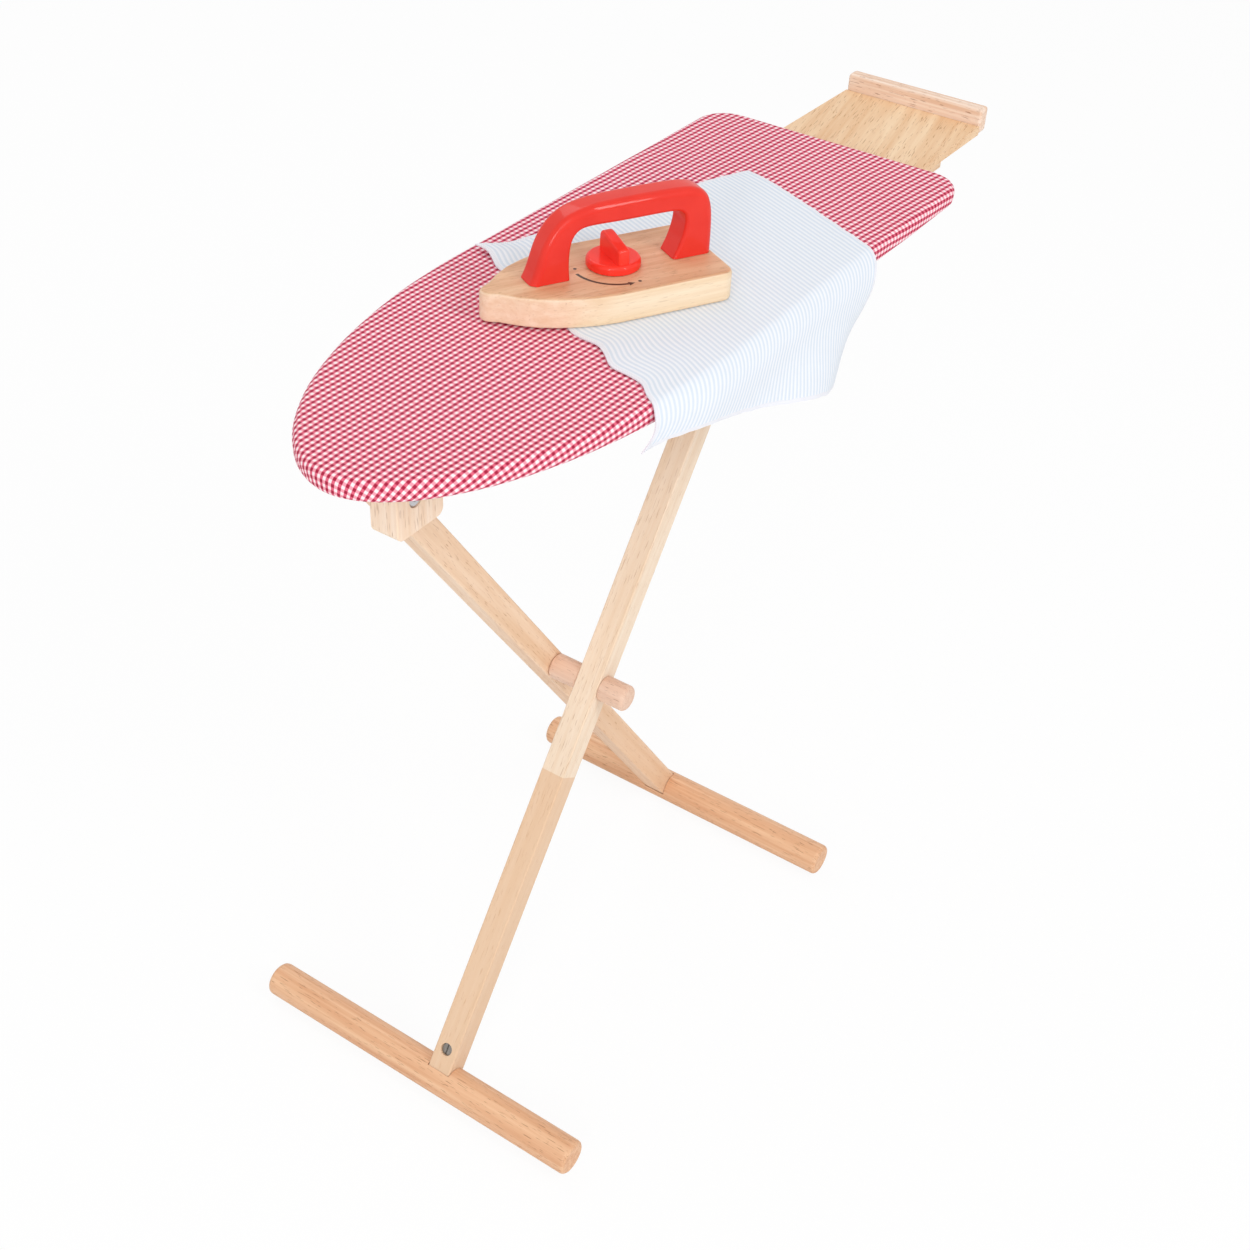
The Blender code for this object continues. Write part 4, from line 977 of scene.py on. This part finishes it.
def makeHem():
    # rings square to the route, closed at both ends, unrolled for their pattern
    shape = hemShape
    sides = shape["sides"]
    route = hemRoute()
    walked = distances(route)
    shell = bmesh.new()
    layer = shell.loops.layers.uv.new("flat")
    loops = []
    for index, spot in enumerate(route):
        before, after = route[max(index - 1, 0)], route[min(index + 1, len(route) - 1)]
        way = (after - before).normalized()
        out = way.cross(Vector((0, 0, 1))).normalized()
        up = out.cross(way)
        close = shape["endShare"] if index in (0, len(route) - 1) else 1.0
        radius = shape["radius"] * close * (1 - shape["gather"] * (
            0.5 + 0.5 * sin(tau * walked[index] / shape["pitch"])
            * (0.7 + 0.3 * softNoise(walked[index], 0, 0.01, 2.0))))
        loops.append([shell.verts.new(spot + (out * cos(tau * side / sides)
                                              + up * sin(tau * side / sides)) * radius)
                      for side in range(sides)])
    for index, side, quad in ringQuads(loops):
        spots = ((index, side), (index, side + 1), (index + 1, side + 1), (index + 1, side))
        for loop, (station, turnStep) in zip(shell.faces.new(quad).loops, spots):
            loop[layer].uv = (walked[station], tau * shape["radius"] * turnStep / sides)
    capEnds(shell, loops)
    hem = fromShell("elasticHem", shell)
    handOver(hem, gingham, "elastic_hem", angle=70)


makeHem()

# felt pad: a flat cushion with rounded edges that fills the cover
padLow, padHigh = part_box("foam_pad")
padShape = {
    "inset": 0.0015, "low": padLow.z, "high": padHigh.z - 0.0003, "round": 0.0042,
    "dent": 0.03, "dentSize": 0.03,
    # (inward, up) up its edge, as shares of the round and of the thickness
    "profile": ((0.9, 0.0), (0.25, 0.04), (0.0, 0.22), (0.1, 0.5), (0.42, 0.8),
                (1.0, 0.96), (1.9, 1.0)),
}


def makePad():
    shape = padShape
    side = outlineSide(shape["inset"])
    ring = side + [(Vector((spot.x, -spot.y, 0)), Vector((way.x, -way.y, 0)))
                   for spot, way in reversed(side[1:])]
    shell = bmesh.new()
    thick = shape["high"] - shape["low"]
    loops = []
    for inward, up in shape["profile"]:
        loop = []
        for spot, way in ring:
            place = spot - way * shape["round"] * inward
            dent = shape["dent"] * (0.5 + 0.5 * softNoise(spot.x, spot.y, shape["dentSize"], 6.0))
            height = up - dent * (1 if 0.1 < up < 1 else 0)
            loop.append(shell.verts.new((place.x, place.y, shape["low"] + thick * height)))
        loops.append(loop)
    for index, side, quad in ringQuads(loops):
        shell.faces.new(quad)
    capEnds(shell, loops)
    pad = fromShell("feltPad", shell)
    handOver(pad, felt, "foam_pad", angle=60)


makePad()

# loose striped cloth, laid on the cover and hung over the near edge
clothShape = {
    "width": 0.2376, "length": 0.2383, "thickness": 0.001, "gap": 0.0003,
    "corner": (board["noseX"] + 0.2618, 0.0932),
    "across": -16.5, "down": -114.5,
    "columns": 158, "rows": 158,
    # the front corners are drawn out and the rear ones round, the more so near the corner
    "frontPull": -0.044, "rearPull": 0.034, "squareness": 8,
    "wave": 0.0027, "waveStart": 0.0031, "wavePitch": 0.045, "waveReach": 0.07,
    "bendOut": 0.012, "bendDown": 0.018, "bendSteps": 24,
    "foldRamp": 0.05,
    # how far the hanging part stands out, over its width: mean, cosines and sines
    "folds": (-0.0038, (0.0, -0.0059, 0.0002), (0.0039, -0.009, 0.0036)),
    "slant": (0.074, 0.042, 0.087),  # to the rear per drop: at the front, over the width, mid
    "tuck": 0.0045, "tuckReach": 0.06, "tuckRamp": 0.035,
    "ripple": 0.0011, "rippleSize": 0.055, "flutter": 0.0012, "flutterSize": 0.012,
    "curl": 0.0035, "curlReach": 0.026, "ironReach": 0.04,
    "fade": 0.02,  # where it lies flat again: from an edge, the iron or the bend
}


def halfWidth(x):
    share = min(max((x - board["noseX"]) / board["noseLength"], 0.0), 1.0)
    return board["half"] * (1 - (1 - share) ** board["nosePower"]) ** (1 / board["nosePower"])


def soft(share):
    share = min(max(share, 0.0), 1.0)
    return share * share * (3 - 2 * share)


def bendPath():
    # (walked, out, down) round the quarter ellipse over the edge
    shape = clothShape
    path = [(0.0, 0.0, 0.0)]
    for turn in quarter(shape["bendSteps"], 1):
        out = shape["bendOut"] * sin(turn)
        down = shape["bendDown"] * (1 - cos(turn))
        walked, lastOut, lastDown = path[-1]
        path.append((walked + hypot(out - lastOut, down - lastDown), out, down))
    return path


def overEdge(path, beyond):
    # where the cloth is when it has gone this far beyond the start of its bend
    for (start, out, down), (end, nextOut, nextDown) in zip(path, path[1:]):
        if beyond < end:
            share = (beyond - start) / (end - start)
            return out + (nextOut - out) * share, down + (nextDown - down) * share, 0.0
    return path[-1][1], path[-1][2], beyond - path[-1][0]


def freeOfIron(x, y):
    # 0 under the iron, 1 well away from it
    spot = ironPlace.inverted() @ Vector((x, y, iron["nose"][2]))
    away = max(abs(spot.y) - clothShape["ironReach"], spot.x - iron["length"], -spot.x)
    return soft(away / clothShape["fade"])


def drape(path, u, v):
    # where a point of the flat cloth comes to lie
    shape = clothShape
    level = board["top"] + shape["gap"]
    width, length = shape["width"], shape["length"]
    square, fade, flutter = shape["squareness"], shape["fade"], shape["flutter"]
    share = u / width
    pull = shape["frontPull"] + (shape["rearPull"] - shape["frontPull"]) * soft(share)
    s, t = 2 * share - 1, 2 * v / length - 1
    wave = sin(tau * (v + shape["waveStart"]) / shape["wavePitch"])
    flatU = (s * (1 - pull * t ** square) + 1) / 2 * width \
        + shape["wave"] * wave * soft(1 - u / shape["waveReach"])
    flatV = (t * (1 - pull * s ** square) + 1) / 2 * length
    flatU += flutter * softNoise(v, 0, shape["flutterSize"], 21.0) * s ** square
    flatV += flutter * softNoise(u, 0, shape["flutterSize"], 23.0) * t ** square
    across, down = radians(shape["across"]), radians(shape["down"])
    x = shape["corner"][0] + flatU * cos(across) + flatV * cos(down)
    y = shape["corner"][1] + flatU * sin(across) + flatV * sin(down)
    line = coverShape["topRound"] - halfWidth(x)
    beyond = line - y
    edge = min(u, v, width - u, length - v)
    lift = shape["ripple"] * (0.5 + 0.5 * softNoise(x, y, shape["rippleSize"], 31.0)) \
        * (0.35 + 0.65 * soft(1 - edge / fade))
    lift += shape["curl"] * soft(1 - u / shape["curlReach"]) * soft(1 - v / shape["curlReach"])
    lift *= freeOfIron(x, y)
    if beyond <= 0:
        return Vector((x, y, level + lift * soft(-beyond / fade)))
    out, sink, drop = overEdge(path, beyond)
    share = flatU / width
    mean, cosines, sines = shape["folds"]
    stand = mean + sum(
        cosine * cos(pi * count * share) + sine * sin(pi * count * share)
        for count, (cosine, sine) in enumerate(zip(cosines, sines), 1))
    out += stand * soft(drop / shape["foldRamp"])
    out -= shape["tuck"] * soft(beyond / shape["tuckRamp"]) * soft(1 - u / shape["tuckReach"])
    first, over, mid = shape["slant"]
    x += drop * (first + over * share + mid * share * (1 - share) * 4)
    return Vector((x, line - out, level - sink - drop))


def makeCloth():
    shape = clothShape
    path = bendPath()
    shell = bmesh.new()
    layer = shell.loops.layers.uv.new("flat")
    grid = []
    for column in range(shape["columns"] + 1):
        line = []
        for row in range(shape["rows"] + 1):
            u = shape["width"] * column / shape["columns"]
            v = shape["length"] * row / shape["rows"]
            line.append((shell.verts.new(drape(path, u, v)), u, v))
        grid.append(line)
    for left, right in zip(grid, grid[1:]):
        for row in range(shape["rows"]):
            spots = (left[row], left[row + 1], right[row + 1], right[row])
            face = shell.faces.new([vert for vert, u, v in spots])
            for loop, (vert, u, v) in zip(face.loops, spots):
                loop[layer].uv = (u, v)
    area = sum(face.calc_area() for face in shell.faces)
    cloth = fromShell("stripedCloth", shell)
    if cloth.data.polygons[0].normal.z < 0:
        cloth.data.flip_normals()
    applied(cloth, "SOLIDIFY", thickness=shape["thickness"], offset=1.0)
    handOver(cloth, stripes, "striped_cloth", angle=60)


stripes = makeStripes(clothShape["width"], clothShape["length"])
makeCloth()
print("striped cloth draped")

# floor: white to the camera, but it keeps a soft shadow
bpy.ops.object.select_all(action="DESELECT")
bpy.ops.mesh.primitive_plane_add(size=studio["floorSize"])
floor = named("studioFloor")
settle(floor, Matrix.Translation((0, 0, studio["floorLevel"])))
floorPaint = bpy.data.materials.new("floorPaint")
floorPaint.use_nodes = True
floorTree = floorPaint.node_tree
floorShader = floorTree.nodes["Principled BSDF"]
floorShader.inputs["Base Color"].default_value = (studio["floorWhite"],) * 3 + (1.0,)
floorShader.inputs["Roughness"].default_value = studio["floorRough"]
rays = Wire(floorTree, floorTree.nodes.new("ShaderNodeLightPath").outputs["Is Camera Ray"])
glow = rays.node("ShaderNodeEmission", {"Strength": 1.0})
painted = Wire(floorTree, floorShader.outputs[0])
mixed = rays.node("ShaderNodeMixShader",
                  {0: rays * studio["floorGlow"], 1: painted, 2: glow})
floorTree.links.new(mixed.socket, floorTree.nodes["Material Output"].inputs["Surface"])
floor.data.materials.append(floorPaint)

world = bpy.data.worlds.new("studioWorld")
bpy.context.scene.world = world
world.use_nodes = True
worldTree = world.node_tree
sky = worldTree.nodes["Background"]
light = worldTree.nodes.new("ShaderNodeLightPath")
cameraRay, glossyRay, glassRay = (Wire(worldTree, light.outputs[f"Is {kind} Ray"])
                                  for kind in ("Camera", "Glossy", "Transmission"))
direct = cameraRay.maths("MAXIMUM", glossyRay).maths("MAXIMUM", glassRay)
strength = direct * (1 - studio["sky"]) + studio["sky"]
sky.inputs["Color"].default_value = (1, 1, 1, 1)
worldTree.links.new(strength.socket, sky.inputs["Strength"])
